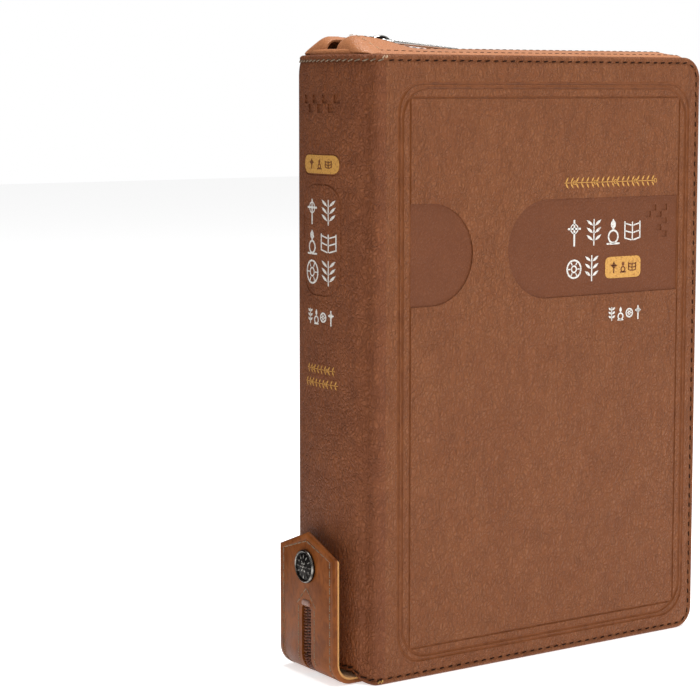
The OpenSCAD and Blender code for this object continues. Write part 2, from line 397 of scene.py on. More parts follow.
def edged_sheet(name, x0, x1, z0, z1, corner=0.0):
    """A flat skin facing -Y with rolled, channelled head and tail edges, and fore-edge if it has corners."""
    begin()
    bpy.ops.mesh.primitive_plane_add(size=1, location=(0, 0, 0), rotation=(math.pi / 2, 0, 0))
    ob = bpy.context.object
    ob.name = name
    a, b = at(x0, 0, z0), at(x1, 0, z1)
    ob.scale = (b.x - a.x, b.z - a.z, 1)
    ob.location = ((a.x + b.x) / 2, (ROLL - HALF) * MM, (a.z + b.z) / 2)
    apply_all(ob)
    edit(ob)
    if corner:
        pick(ob, "VERT", lambda c, v: c.x > b.x - 1e-5)
        bpy.ops.mesh.bevel(offset=corner * MM, segments=12, affect="VERTICES")

    def rolled(c, e):
        on_left = c.x < a.x + 1e-6
        on_right = c.x > b.x - 1e-6 and not corner
        return e.is_boundary and not on_left and not on_right

    for deep in (0.9, TURN_IN - ROLL - 0.9):
        pick(ob, "EDGE", lambda c, e, d=deep: rolled(c, e) and (
            d == 0.9 or c.y > (ROLL - HALF + 0.5) * MM))
        pull_out(y=deep, kind="edges")
    pick(ob, "FACE", lambda c, f: abs(c.y - (ROLL - HALF) * MM) < 1e-6)
    for thick, deep in RINGS:
        bpy.ops.mesh.inset(thickness=thick * MM, depth=deep * MM, use_boundary=False,
                           use_even_offset=True)
    begin()
    return ob


# Section of the skin from the front cover's face over the board's edge and through the hinge's valley: x and y
SIDE = [(FACE_EDGE, -HALF), (4.3, -HALF + 0.03), (3.0, -HALF + 0.16), (2.0, -HALF + 0.45), (1.2, -HALF + 0.95),
        (0.65, -HALF + 1.65), (0.32, -HALF + 2.5), (0.05, -HALF + 3.4), (-0.4, -HALF + 4.3), (-1.15, -HALF + 5.1),
        (-2.05, -HALF + 5.9), (-2.8, -HALF + 6.8), (-3.27, -HALF + 7.8)]


def spine_path():
    """Section of the skin from the front cover's face round the spine to the back cover's face."""
    steps = [i * 1.08 for i in range(-17, 18)]
    round_part = [(ARC_X - math.sqrt(ARC**2 - y**2), y) for y in steps]
    back = [(x, -y) for x, y in reversed(SIDE)]
    return [Vector((x, y)) for x, y in SIDE + round_part + back]


PATH = spine_path()
PATH_AT = [0.0]
for _a, _b in zip(PATH, PATH[1:]):
    PATH_AT.append(PATH_AT[-1] + (_b - _a).length)
PATH_LONG = PATH_AT[-1]
JOINT_LONG = PATH_AT[len(SIDE)]


def on_path(u):
    """Place and outward direction at a distance along the skin's section."""
    u = min(max(u, 0.0), PATH_LONG)
    k = max(i for i in range(len(PATH_AT) - 1) if PATH_AT[i] <= u + 1e-9)
    a, b = PATH[k], PATH[k + 1]
    f = (u - PATH_AT[k]) / (PATH_AT[k + 1] - PATH_AT[k])

    def normal(i):
        p, q = PATH[max(i - 1, 0)], PATH[min(i + 1, len(PATH) - 1)]
        d = (q - p).normalized()
        return Vector((-d.y, d.x))

    n = (normal(k) * (1 - f) + normal(k + 1) * f).normalized()
    return a + (b - a) * f, n


def tail_lift(y, z):
    """The spine's tail edge rises over the strap that passes under it, less and less up the spine."""
    return 4.2 * smoothstep((23.5 - abs(y)) / 6.5) * max(0.0, 1 - z / 36)


def wrapped_skin(name, u0, u1):
    """A stretch of the skin laid flat, then wrapped round the spine."""
    ob = edged_sheet(name, u0, u1, 0, HEIGHT)
    sliced(ob, [at(u, 0, 0) for u in PATH_AT if u0 + 0.05 < u < u1 - 0.05], (1, 0, 0))
    sliced(ob, [at(0, 0, z) for z in (12, 24, 36, 60, 90, 120, 150, 180, 210, 228)], (0, 0, 1))

    def wrap(u, y, z):
        p, n = on_path(u)
        out = -(y + HALF)
        return p.x + n.x * out, p.y + n.y * out, z + tail_lift(p.y, z)

    return reshape(ob, wrap)


def flip_if_inside(ob):
    """A skin with open sides has no inside, so its faces are turned by where most of them look."""
    centre = at(30, 0, HEIGHT / 2)
    votes = sum((f.center - centre).dot(f.normal) * f.area for f in ob.data.polygons)
    return flipped(ob) if votes < 0 else ob


def nearest(points, outs):
    """A rule that gives the outward direction of the closest point."""
    pairs = list(zip(points, outs))
    return lambda p: min(pairs, key=lambda q: (q[0] - p).length_squared)[1]


def seam(name, points, outs, pitch, length, thick, material, body, tilt=0.0):
    """A run of stitches along a line; outs gives the leather's outward direction at each place."""
    places = [turned(p, d, outs(p)) @ Matrix.Rotation(tilt, 4, "Z") for p, d in spaced(points, pitch * MM)]
    return finish(copies(name, thread(length, thick), places), name, body, material)


# ---------------------------------------------------------------- materials


def linear(code):
    """An sRGB hex colour as the linear values that shaders take."""
    parts = [int(code[i:i + 2], 16) / 255 for i in (1, 3, 5)]
    return tuple(c / 12.92 if c <= 0.04045 else ((c + 0.055) / 1.055) ** 2.4 for c in parts) + (1.0,)


def add(tree, kind, inputs=(), **settings):
    """One node with its settings. Its inputs, by order or by name, are values, sockets or other nodes."""
    n = tree.nodes.new("ShaderNode" + kind)
    for k, v in settings.items():
        setattr(n, k, v)
    for k, v in inputs.items() if isinstance(inputs, dict) else enumerate(inputs):
        if isinstance(v, bpy.types.Node):
            v = v.outputs.get("Fac") or next(out for out in v.outputs if out.enabled)
        if isinstance(v, bpy.types.NodeSocket):
            tree.links.new(v, n.inputs[k])
        else:
            n.inputs[k].default_value = v
    return n


# Settings of a range with soft ends and of a mix of two colours, whose inputs are 0, 6 and 7
SOFT = {"interpolation_type": "SMOOTHSTEP"}
COLOURS = {"data_type": "RGBA"}


def new_material(name, base, rough, **shader):
    """A material with its node tree, its Principled shader and object coordinates."""
    m = bpy.data.materials.new(name)
    m.use_nodes = True
    t = m.node_tree
    t.nodes.clear()
    s = add(t, "BsdfPrincipled", {"Base Color": linear(base), "Roughness": rough, **shader})
    add(t, "OutputMaterial", {"Surface": s})
    return m, t, s, add(t, "TexCoord").outputs["Object"]


def pattern(t, co, kind, size_mm, stretch=(1, 1, 1), **values):
    """A texture whose unit is a real size. Values with a capital are its inputs, and the others its settings."""
    place = add(t, "Mapping", {"Vector": co, "Scale": tuple(1000 / size_mm * k for k in stretch)})
    inputs = {k: v for k, v in values.items() if k[0].isupper()}
    settings = {k: v for k, v in values.items() if k[0].islower()}
    return add(t, "Tex" + kind, {"Vector": place, "Scale": 1.0, **inputs}, **settings)


def weighted(t, *parts):
    """The sum of patterns, each times its weight."""
    total = None
    for value, weight in parts:
        share = add(t, "Math", (value, weight), operation="MULTIPLY")
        total = share if total is None else add(t, "Math", (total, share), operation="ADD")
    return total


def dressed(made, tone, height, deep, strength, rough=None):
    """Joins a pattern's colour, its relief of a depth in millimetres and its roughness to the shader."""
    m, t, s, _ = made
    bump = add(t, "Bump", {"Height": height, "Distance": deep * MM, "Strength": strength})
    for socket, value in (("Base Color", tone), ("Normal", bump), ("Roughness", rough)):
        if value is not None:
            t.links.new(next(out for out in value.outputs if out.enabled), s.inputs[socket])
    return m


def grained_leather(name, base, dark, pale, grain=1.3, relief=0.48, rough=0.52):
    """Embossed, drum-dyed cowhide: rounded pebbles parted by fine creases, long soft wrinkles and a low shine, with
    painted shade in the creases and wrinkles.
    """
    made = _, t, _, co = new_material(name, base, rough, **{"Specular IOR Level": 0.27})
    base, dark, pale = linear(base), linear(dark), linear(pale)
    drift = pattern(t, co, "Noise", 4.5, Detail=3.0)
    cells = add(t, "Mapping", {"Vector": co, "Scale": (1000 / grain,) * 3})
    cells = add(t, "Mapping", {"Vector": cells, "Rotation": (0.3, 0.55, 0.0), "Scale": (1.0, 1.0, 0.62)})
    shake = add(t, "VectorMath", {0: drift.outputs["Color"], "Scale": 2.6}, operation="SCALE")
    cells = add(t, "VectorMath", (cells, shake), operation="ADD")
    pebble = add(t, "TexVoronoi", {"Vector": cells, "Scale": 1.0}, feature="SMOOTH_F1")
    edge = add(t, "TexVoronoi", {"Vector": cells, "Scale": 1.0}, feature="DISTANCE_TO_EDGE")
    crease = add(t, "MapRange", (edge, 0.0, 0.3), **SOFT)
    pores = pattern(t, co, "Noise", 0.45, Detail=3.0)
    swell = pattern(t, co, "Noise", 20.0, Detail=3.0)
    pull = pattern(t, co, "Noise", 4.2, (1, 1, 0.5), Detail=4.0, Distortion=1.4)
    fold = add(t, "Math", (add(t, "Math", (pull, 0.5), operation="SUBTRACT"),), operation="ABSOLUTE")
    wrinkle = add(t, "MapRange", (fold, 0.0, 0.05), **SOFT)
    patchy = pattern(t, co, "Noise", 9.0, Detail=5.0, Roughness=0.65)
    dome = add(t, "Math", (1.0, pebble), operation="SUBTRACT")
    height = weighted(t, (crease, 0.55), (dome, 0.6), (pores, 0.16), (wrinkle, 0.45), (swell, 2.5))
    tone = add(t, "Mix", {0: add(t, "MapRange", (patchy, 0.3, 0.7), **SOFT), 6: base, 7: pale}, **COLOURS)
    low = add(t, "MapRange", (swell, 0.35, 0.62, 0.2, 0.0), **SOFT)
    tone = add(t, "Mix", {0: low, 6: tone, 7: dark}, **COLOURS)
    open_crease = add(t, "Math", (weighted(t, (wrinkle, 0.35)), 0.65), operation="ADD")
    hollow = add(t, "Math", (crease, open_crease), operation="MULTIPLY")
    # Painted shade: the creases between the pebbles and the long wrinkles are mixed towards the dark tone.
    crease_shade = weighted(t, (add(t, "Math", (1.0, hollow), operation="SUBTRACT"), 0.42))
    tone = add(t, "Mix", {0: crease_shade, 6: tone, 7: dark}, **COLOURS)
    return dressed(made, tone, height, relief, 1.0,
                   add(t, "MapRange", (hollow, 0.0, 1.0, rough + 0.12, rough - 0.03), **SOFT))


def smooth_leather(name, base, dark, pale, rough=0.4):
    """Vegetable-tanned hide, burnished: almost flat, with faint creases, pores and a darker tone where the long
    wrinkles' relief is low.
    """
    made = _, t, _, co = new_material(name, base, rough, **{"Specular IOR Level": 0.17})
    patchy = pattern(t, co, "Noise", 9.0, Detail=5.0, Roughness=0.6)
    pull = pattern(t, co, "Noise", 1.6, (1, 1, 0.45), Detail=4.0, Distortion=0.6)
    cells = pattern(t, co, "Voronoi", 0.75, feature="DISTANCE_TO_EDGE")
    crease = add(t, "MapRange", (cells, 0.0, 0.3), **SOFT)
    tone = add(t, "Mix", {0: add(t, "MapRange", (patchy, 0.32, 0.68), **SOFT), 6: linear(base), 7: linear(pale)},
               **COLOURS)
    # Darker where the long wrinkles' relief is low: the same noise sets this tone and the relief.
    tone = add(t, "Mix", {0: add(t, "MapRange", (pull, 0.3, 0.55, 0.5, 0.0), **SOFT), 6: tone, 7: linear(dark)},
               **COLOURS)
    return dressed(made, tone, weighted(t, (pull, 0.9), (crease, 0.22)), 0.12, 0.8,
                   add(t, "MapRange", (patchy, 0.3, 0.7, rough - 0.06, rough + 0.1), **SOFT))


def raw_leather(name, base, dark):
    """The flesh side and cut edge of tanned hide: loose matte fibres, paler than the dyed face."""
    made = _, t, _, co = new_material(name, base, 0.85, **{"Sheen Weight": 0.25, "Sheen Roughness": 0.6})
    fibre = pattern(t, co, "Noise", 0.5, Detail=4.0)
    return dressed(made, add(t, "Mix", {0: fibre, 6: linear(dark), 7: linear(base)}, **COLOURS), fibre, 0.2, 0.9)


def twisted_thread(name, base, dark):
    """Waxed polyester thread: two plies, seen as slanting bands, with painted shade darkening the grooves between the
    plies.
    """
    made = _, t, _, co = new_material(name, base, 0.85, **{"Specular IOR Level": 0.15})
    ply = pattern(t, co, "Wave", 0.5, Scale=0.5, Distortion=1.5, bands_direction="DIAGONAL")
    return dressed(made, add(t, "Mix", {0: ply, 6: linear(dark), 7: linear(base)}, **COLOURS), ply, 0.08, 0.8)


def woven_tape(name, base, dark):
    """Herringbone zip tape: crossed polyester threads, drawn a little coarse so that they show."""
    made = _, t, _, co = new_material(name, base, 0.8, **{"Sheen Weight": 0.2})
    warp = pattern(t, co, "Wave", 0.45, Scale=0.5, bands_direction="Y")
    weft = pattern(t, co, "Wave", 0.45, Scale=0.35, bands_direction="DIAGONAL")
    both = add(t, "Math", (warp, weft), operation="MULTIPLY")
    return dressed(made, add(t, "Mix", {0: both, 6: linear(dark), 7: linear(base)}, **COLOURS), both, 0.15, 0.9)


def wound_nylon(name, base, pale):
    """Nylon monofilament, wound and heat-set: satin, with lighter patches spread at random over the turns."""
    made = _, t, _, co = new_material(name, base, 0.36)
    pale_patch = pattern(t, co, "Noise", 1.1, Detail=3.0)
    tone = add(t, "Mix", {0: add(t, "MapRange", (pale_patch, 0.4, 0.72), **SOFT), 6: linear(base), 7: linear(pale)},
               **COLOURS)
    return dressed(made, tone, pale_patch, 0.05, 0.5)


def plated_metal(name, base, dark, rough, wear=0.5):
    """Nickel-plated zinc casting: mirror-like on the rubbed high places, duller and darker in the hollows."""
    made = _, t, _, co = new_material(name, base, rough, Metallic=1.0)
    cloud = pattern(t, co, "Noise", 2.4, Detail=5.0, Roughness=0.65)
    scuff = pattern(t, co, "Noise", 0.6, (1, 4, 1), Detail=2.0)
    worn = add(t, "MapRange", (cloud, 0.35, 0.7, 0.0, wear), **SOFT)
    return dressed(made, add(t, "Mix", {0: worn, 6: linear(base), 7: linear(dark)}, **COLOURS), scuff, 0.02, 0.12,
                   add(t, "MapRange", (scuff, 0.3, 0.75, rough - 0.06, rough + 0.14), **SOFT))


def hot_foil(name, base, dark, rough=0.42):
    """Metal foil stamped into leather: bright, but broken up by the grain under it."""
    made = _, t, _, co = new_material(name, base, rough, Metallic=0.3)
    grain = pattern(t, co, "Voronoi", 1.2, feature="DISTANCE_TO_EDGE")
    flaw = pattern(t, co, "Noise", 0.8, Detail=4.0)
    bare = add(t, "MapRange", (flaw, 0.5, 0.72, 0.0, 0.7), **SOFT)
    return dressed(made, add(t, "Mix", {0: bare, 6: linear(base), 7: linear(dark)}, **COLOURS),
                   add(t, "MapRange", (grain, 0.0, 0.2), **SOFT), 0.08, 0.7,
                   add(t, "MapRange", (flaw, 0.3, 0.7, rough - 0.05, rough + 0.2), **SOFT))


def cut_pages(name, base, dark):
    """Trimmed thin-paper leaves: fine lines along the block, a few deeper, each leaf a little off its neighbour."""
    made = _, t, _, co = new_material(name, base, 0.75)
    lines = pattern(t, co, "Noise", 0.3, (0, 1, 0), Detail=3.0, Roughness=0.75)
    gathers = pattern(t, co, "Noise", 2.2, (0, 1, 0), Detail=1.0)
    tone = add(t, "Mix", {0: add(t, "MapRange", (lines, 0.35, 0.65), **SOFT), 6: linear(dark), 7: linear(base)},
               **COLOURS)
    tone = add(t, "Mix", {0: add(t, "MapRange", (gathers, 0.4, 0.6, 0.25, 0.0), **SOFT), 6: tone, 7: linear(dark)},
               **COLOURS)
    return dressed(made, tone, add(t, "Math", (lines, gathers), operation="ADD"), 0.25, 0.9)


def fibrous_sheet(name, base, dark, fibre_mm=0.8, relief=0.05):
    """Paper or greyboard: matte, with short fibres and a slightly cloudy tone."""
    made = _, t, _, co = new_material(name, base, 0.85)
    fibre = pattern(t, co, "Noise", fibre_mm, Detail=5.0)
    cloud = pattern(t, co, "Noise", 25.0, Detail=2.0)
    both = add(t, "MapRange", (weighted(t, (fibre, 0.5), (cloud, 0.5)), 0.35, 0.65), **SOFT)
    return dressed(made, add(t, "Mix", {0: both, 6: linear(dark), 7: linear(base)}, **COLOURS), fibre, relief, 0.6)


def satin_weave(name, base, dark, pitch_mm=0.7):
    """Woven silk or rayon: close parallel floats with a soft sheen across them."""
    made = _, t, _, co = new_material(name, base, 0.5, **{"Sheen Weight": 0.4, "Sheen Roughness": 0.35})
    floats = pattern(t, co, "Wave", pitch_mm, Scale=0.5, Distortion=0.4, bands_direction="Y")
    return dressed(made, add(t, "Mix", {0: floats, 6: linear(dark), 7: linear(base)}, **COLOURS), floats, 0.12, 0.8)


def studio_paper(name, base, glow=0.0):
    """Matte card or backdrop paper; the backdrop is lit through a little so that it stays white."""
    made = _, t, _, co = new_material(name, base, 0.9, **{"Emission Color": (1, 1, 1, 1), "Emission Strength": glow})
    return dressed(made, None, pattern(t, co, "Noise", 3.0, Detail=3.0), 0.02, 0.3)


MATERIALS = {}


def hexed(colour):
    """A colour property as the hex code that the materials take."""
    def up(c):
        return c * 12.92 if c <= 0.0031308 else 1.055 * c ** (1 / 2.4) - 0.055
    return "#" + "".join(f"{max(0, min(255, round(up(c) * 255))):02X}" for c in colour[:3])


def make_materials(look):
    """Every finish on the book, by name."""
    MATERIALS.update(
        cover=grained_leather("pebbled_cowhide_cover", hexed(look.cover), "#683516", "#85502C"),
        # The spine's leather is the cover's made darker: painted shade for the spine, which turns away from the key
        # light.
        spine=grained_leather("pebbled_cowhide_spine_painted_shade", hexed(look.spine), "#5C2E15", "#844B27",
                               relief=0.42, rough=0.52),
        pressed=grained_leather("pressed_cowhide_panel", "#6D3A1B", "#5A2E13", "#713E1F", grain=0.9, relief=0.14,
                                rough=0.48),
        # Darker leather for the crease grooves: painted shade.
        creased=smooth_leather("crease_painted_shade", "#72401F", "#5C2F16", "#7F4A28", rough=0.4),
        # The gusset leather is paler partly by its own tone and partly as painted highlight of the top light on the
        # head gusset.
        gusset=grained_leather("split_cowhide_gusset_painted_highlight", hexed(look.gusset), "#96592F", "#BC7F58", grain=0.9,
                               relief=0.12, rough=0.34),
        tab=smooth_leather("burnished_hide_tab", hexed(look.tab), "#532608", "#874A1C"),
        raw=raw_leather("raw_hide_lining", "#D39A4E", "#A8713A"),
        lining=smooth_leather("bonded_leather_lining", "#6E4733", "#4F3022", "#7C523C", rough=0.55),
        dark_thread=twisted_thread("waxed_thread_dark_brown", "#33190E", "#180B06"),
        grey_thread=twisted_thread("waxed_thread_grey_brown", "#95816B", "#5A4A3C"),
        pale_thread=twisted_thread("waxed_thread_pale", "#D9BFA0", "#A5876A"),
        gold_thread=twisted_thread("waxed_thread_gold", "#D2A860", "#8F6A34"),
        tape=woven_tape("herringbone_zip_tape", "#6E432E", "#3B2217"),
        coil=wound_nylon("wound_nylon_coil", "#5A3020", "#8F5B45"),
        stop=satin_weave("folded_tape_stop", "#A9735C", "#6E4433", 0.5),
        nickel=plated_metal("polished_nickel_plate", "#D9D8D4", "#8C8B88", 0.17, 0.2),
        antique=plated_metal("antiqued_nickel_plate", "#8E8A84", "#2B2825", 0.26, 0.9),
        sunk=plated_metal("blackened_nickel_recess", "#2A2725", "#0F0E0D", 0.45, 0.7),
        silver=hot_foil("silver_hot_foil", "#E2E0DA", "#A89484"),
        gold=hot_foil("gold_hot_foil", "#CF9A4C", "#94602F"),
        pages=cut_pages("trimmed_thin_paper", "#EFE6D2", "#CDBF9F"),
        endpaper=fibrous_sheet("laid_endpaper", "#EADFC9", "#E2D6BE"),
        board=fibrous_sheet("greyboard", "#918A7E", "#6F695F", 1.2, 0.12),
        mull=satin_weave("open_binding_cloth", "#DCD5C5", "#A59D8C", 1.2),
        band=satin_weave("striped_silk_band", "#C29A54", "#7A2F2A", 1.6),
        red=satin_weave("satin_ribbon_red", "#8C1F29", "#5C1119", 0.3),
        yellow=satin_weave("satin_ribbon_gold", "#C79B55", "#8F6A34", 0.3),
        paper=studio_paper("seamless_paper_backdrop", "#FAFAFA", 0.58),
        card=studio_paper("brown_flag_card", "#3A241A"),
    )


# CAD nodes that keep their shape, and the finish that each one takes
KEPT = {
    "text_block": "pages", "front_leaves": "pages", "back_leaves": "pages",
    "front_endpaper": "endpaper", "back_endpaper": "endpaper",
    "spine_board": "board", "front_board": "board", "back_board": "board", "spine_liner": "mull",
    "head_band": "band", "tail_band": "band", "ribbon_front": "red", "ribbon_back": "yellow",
    "front_lining": "lining", "back_lining": "lining", "front_tape": "tape", "back_tape": "tape",
    "snap_socket": "nickel", "snap_stud": "nickel",
}


# ---------------------------------------------------------------- covers

FRAME_LEFT, FRAME_RIGHT, FRAME_LOW, FRAME_TOP = 11.5, 158.0, 7.3, 229.2
PANEL_LEFT, PANEL_RIGHT, PANEL_LOW, PANEL_TOP = 16.7, 153.0, 12.4, 223.8
PILL_LOW, PILL_TOP = 144.4, 183.7
PRESSED = 0.42
CREASE = 0.66


def rounded_frame(x0, x1, z0, z1, r, y):
    """A rounded rectangle in the cover's plane, as points."""
    pts = (arc(x1 - r, z1 - r, r, 90, 0, 10) + arc(x1 - r, z0 + r, r, 0, -90, 10)
           + arc(x0 + r, z0 + r, r, 270, 180, 10) + arc(x0 + r, z1 - r, r, 180, 90, 10))
    return [at(x, y, z) for x, z in pts]


def slab(name, outline, y, deep):
    """A filled outline in the cover's plane, pulled out towards the front."""
    ob = drawn(name, [at(x, y, z) for x, z in outline], closed=True)
    whole(ob)
    bpy.ops.mesh.edge_face_add()
    pull_out(y=-deep)
    begin()
    return outward(ob)


def cover_panel(name):
    """One cover's leather: rolled edge, padded face, turned in, with its thickness."""
    ob = edged_sheet(name, FACE_EDGE, WIDTH, 0, HEIGHT, CORNER)
    flip_front(ob)
    return modified(ob, "SOLIDIFY", thickness=1.1 * MM, offset=-1.0, use_even_offset=False)


def flip_front(ob):
    """The big flat face has to look towards the front before it gets its thickness."""
    big = max(ob.data.polygons, key=lambda f: f.area)
    return flipped(ob) if big.normal.y > 0 else ob


def press_lines(ob):
    """Three creased lines round the cover: two rounded, one square."""
    y = -HALF - 0.18
    for gap, r in ((0.0, 11.0), (1.65, 12.0)):
        cut(ob, tube("crease", rounded_frame(FRAME_LEFT + gap, FRAME_RIGHT - gap, FRAME_LOW + gap,
                                             FRAME_TOP - gap, r, y), CREASE * MM, True))
    corners = [(PANEL_LEFT, PANEL_TOP), (PANEL_RIGHT, PANEL_TOP), (PANEL_RIGHT, PANEL_LOW),
               (PANEL_LEFT, PANEL_LOW)]
    cut(ob, tube("crease", [at(x, y, z) for x, z in corners], CREASE * MM, True))
    return ob


def press_shapes(ob):
    """The half pill, the long pill and the little chequer, pressed into the front."""
    mid, r = (PILL_LOW + PILL_TOP) / 2, (PILL_TOP - PILL_LOW) / 2
    left = [(PANEL_LEFT + 0.3, PILL_TOP)] + arc(46.5 - r, mid, r, 90, -90, 24) + [(PANEL_LEFT + 0.3, PILL_LOW)]
    right = [(PANEL_RIGHT - 0.3, PILL_LOW)] + arc(63.8 + r, mid, r, 270, 90, 24) + [(PANEL_RIGHT - 0.3, PILL_TOP)]
    for outline in (left, right):
        cut(ob, slab("press", outline, PRESSED - HALF, 3))
    chequer = [(1, 0), (3, 0), (0, 1), (2, 1), (3, 2), (2, 3), (3, 4)]
    for col, row in chequer:
        x, z = 135.7 + 2.95 * col, 180.0 - 2.75 * row
        cut(ob, box(x, x + 2.7, -HALF - 2, -HALF + PRESSED + 0.3, z - 2.5, z))
    return ob


def pressed_faces(ob, pressed, creased):
    """The floors of the pressed shapes take the flattened finish, and the creases a darker leather that paints shade
    into the grooves.
    """
    ob.data.materials.append(pressed)
    ob.data.materials.append(creased)
    for f in ob.data.polygons:
        x, deep, z = (f.center.x - HINGE_X) / MM, f.center.y / MM + HALF, f.center.z / MM
        if not (FRAME_LEFT - 1 < x < FRAME_RIGHT + 1 and FRAME_LOW - 1 < z < FRAME_TOP + 1):
            continue
        flat = abs(f.normal.y) > 0.98
        if flat and deep > PRESSED - 0.02 and PANEL_LEFT < x < PANEL_RIGHT and PILL_LOW - 1 < z < PILL_TOP + 1:
            f.material_index = 1
        # The groove faces round the frame take the darker leather, as painted shade.
        elif 0.14 < deep < 0.8 and f.area < 3e-4 and not (PANEL_LEFT + 1 < x < PANEL_RIGHT - 1
                                                          and PANEL_LOW + 1 < z < PANEL_TOP - 1):
            f.material_index = 2
    return ob


# ---------------------------------------------------------------- spine


def spine_tools(ob):
    """A rounded panel, a chequer and a small plaque's bed, pressed into the spine."""
    def on(y, z, out=0.2):
        a = math.asin(y / ARC)
        return at(ARC_X - (ARC + out) * math.cos(a), (ARC + out) * math.sin(a), z)

    def dense(x0, x1, z0, z1, r):
        pts = []
        raw = (arc(x1 - r, z1 - r, r, 90, 0, 8) + arc(x1 - r, z0 + r, r, 0, -90, 8))
        raw += [(x1 - r - (x1 - x0 - 2 * r) * i / 12, z0) for i in range(1, 12)]
        raw += arc(x0 + r, z0 + r, r, 270, 180, 8) + arc(x0 + r, z1 - r, r, 180, 90, 8)
        raw += [(x0 + r + (x1 - x0 - 2 * r) * i / 12, z1) for i in range(1, 12)]
        for y, z in raw:
            pts.append(on(y, z))
        return pts

    cut(ob, tube("crease", dense(-12.6, 12.6, 148.6, 191.0, 9.0), 0.55 * MM, True))
    cut(ob, tube("crease", dense(-12.2, 12.2, 194.6, 202.4, 3.85), 0.45 * MM, True))
    for row, cols in ((0, (-3, -1, 1, 3)), (1, (-2, 0, 2))):
        for c in cols:
            y, z = -c * 3.45, 224.9 - 3.5 * row
            a = math.asin(y / ARC)
            tool = box(-BULGE - 2, -BULGE + 0.55, -1.65, 1.65, z - 3.3, z)
            active(tool)
            turn = (Matrix.Translation(at(ARC_X, 0, 0)) @ Matrix.Rotation(-a, 4, "Z")
                    @ Matrix.Translation(-at(ARC_X, 0, 0)))
            tool.data.transform(turn)
            cut(ob, tool)
    return ob


# ---------------------------------------------------------------- gussets and zip

GUSSET_FALL = 36.0
GUSSET_RISE = 4.4


def crest(y):
    """How much of the head's rise a place takes, none at the cover's edge and all beside the zip."""
    return smoothstep((22.8 - abs(y)) / 14.0)


def head_rise(x, y):
    """The head gusset stands up beside the spine and falls back towards the fore-edge."""
    if x > GUSSET_FALL:
        return 0.0
    return GUSSET_RISE * crest(y) * (1 + math.cos(math.pi * (x - ZIP_START) / (GUSSET_FALL - ZIP_START))) / 2


def swept(name, section):
    """A section drawn at the zip's head end, extruded along head, fore-edge and tail and spun round the corners."""
    ob = drawn(name, [at(ZIP_START, y, ZIP_HIGH - d) for d, y in section], closed=True)
    far, low, top = ZIP_FAR - ZIP_CORNER, ZIP_LOW + ZIP_CORNER, ZIP_HIGH - ZIP_CORNER
    whole(ob)
    bpy.ops.mesh.edge_face_add()
    for step in [7.5 - ZIP_START] + [2.5] * 12 + [far - 37.5]:
        pull_out(x=step)
    bpy.ops.mesh.spin(steps=8, angle=-math.pi / 2, center=at(far, 0, top), axis=(0, 1, 0))
    pull_out(z=low - top)
    bpy.ops.mesh.spin(steps=8, angle=-math.pi / 2, center=at(far, 0, low), axis=(0, 1, 0))
    pull_out(x=ZIP_START - far)
    begin()
    return outward(ob)


def zip_line(d, y, start=0.0):
    """Points along the zip's way at a depth under the coil's outer face."""
    far, low, top = ZIP_FAR - ZIP_CORNER, ZIP_LOW + ZIP_CORNER, ZIP_HIGH - ZIP_CORNER
    r = ZIP_CORNER - d
    head = [(ZIP_START + start + (far - ZIP_START - start) * i / 60, top + r) for i in range(60)]
    pts = head + arc(far, top, r, 90, 0, 10) + arc(far, low, r, 0, -90, 10) + [(ZIP_START + start, low - r)]
    return [Vector((x, y, z)) for x, z in pts]


def zip_out(p):
    """The way out of the zip's face at a place in millimetres."""
    far, low, top = ZIP_FAR - ZIP_CORNER, ZIP_LOW + ZIP_CORNER, ZIP_HIGH - ZIP_CORNER
    if p.x <= far:
        return Vector((0, 0, 1 if p.z > HEIGHT / 2 else -1))
    if low < p.z < top:
        return Vector((1, 0, 0))
    return (p - Vector((far, p.y, top if p.z > HEIGHT / 2 else low))).normalized()


# Section of a gusset: depth under the coil's face, and y
GUSSET = [(2.0, -22.75), (1.2, -21.2), (0.85, -19.0), (0.55, -16.0), (0.15, -13.0), (-0.3, -10.2), (-0.55, -8.2),
          (-0.4, -7.0), (0.1, -6.1), (0.35, -5.2), (0.5, -4.2), (0.95, -3.55), (1.4, -3.38), (1.8, -3.6),
          (1.95, -4.3), (1.95, -7.5), (1.95, -14.5), (2.35, -19.5), (3.2, -22.6)]


def gusset_depth(y):
    """Depth of the gusset's outer face under the coil's."""
    outer = GUSSET[:11]
    a = min(max(-abs(y), outer[0][1]), outer[-1][1])
    for (d0, y0), (d1, y1) in zip(outer, outer[1:]):
        if a <= y1:
            return d0 + (d1 - d0) * (a - y0) / (y1 - y0)


def gusset(name):
    ob = swept(name, GUSSET)
    return reshape(ob, lambda x, y, z: (x, y, z + head_rise(x, y) if z > HEIGHT / 2 else max(z, 0.1)))


def tooth():
    """One turn of the coil: a flattened loop with a head at its inner end."""
    begin()
    bpy.ops.mesh.primitive_uv_sphere_add(segments=8, ring_count=5, radius=MM / 2, location=(0, 0, 0),
                                         rotation=(math.pi / 2, 0, 0))
    ob = apply_all(bpy.context.object)
    whole(ob)
    bpy.ops.transform.resize(value=(0.82, 2.5, 1.9))
    pick(ob, "VERT", lambda c, v: c.y > 0.0005)
    bpy.ops.transform.resize(value=(1.3, 1.0, 1.25))
    begin()
    return ob


TURN = 1.15
TURN_OUT = 1.45


def coil(name, side, stagger):
    """Half of the coil; side is -1 on the front cover and 1 on the back."""
    line = spaced(zip_line(1.1, side * TURN_OUT), TURN, 0.25 + stagger)
    return copies(name, tooth(), [stood(at(*p), d, Vector((0, -side, 0)), zip_out(p)) for p, d in line])


def coil_cords(name, side):
    """The two sewing lines that hold the coil to its tape."""
    parts = []
    for y in (1.15, 2.0):
        pts = [at(*p) for p in zip_line(0.25, side * y)]
        parts.append(tube(name, pts, 0.22 * MM, sides=1))
    return joined(name, parts)


# ---------------------------------------------------------------- tab

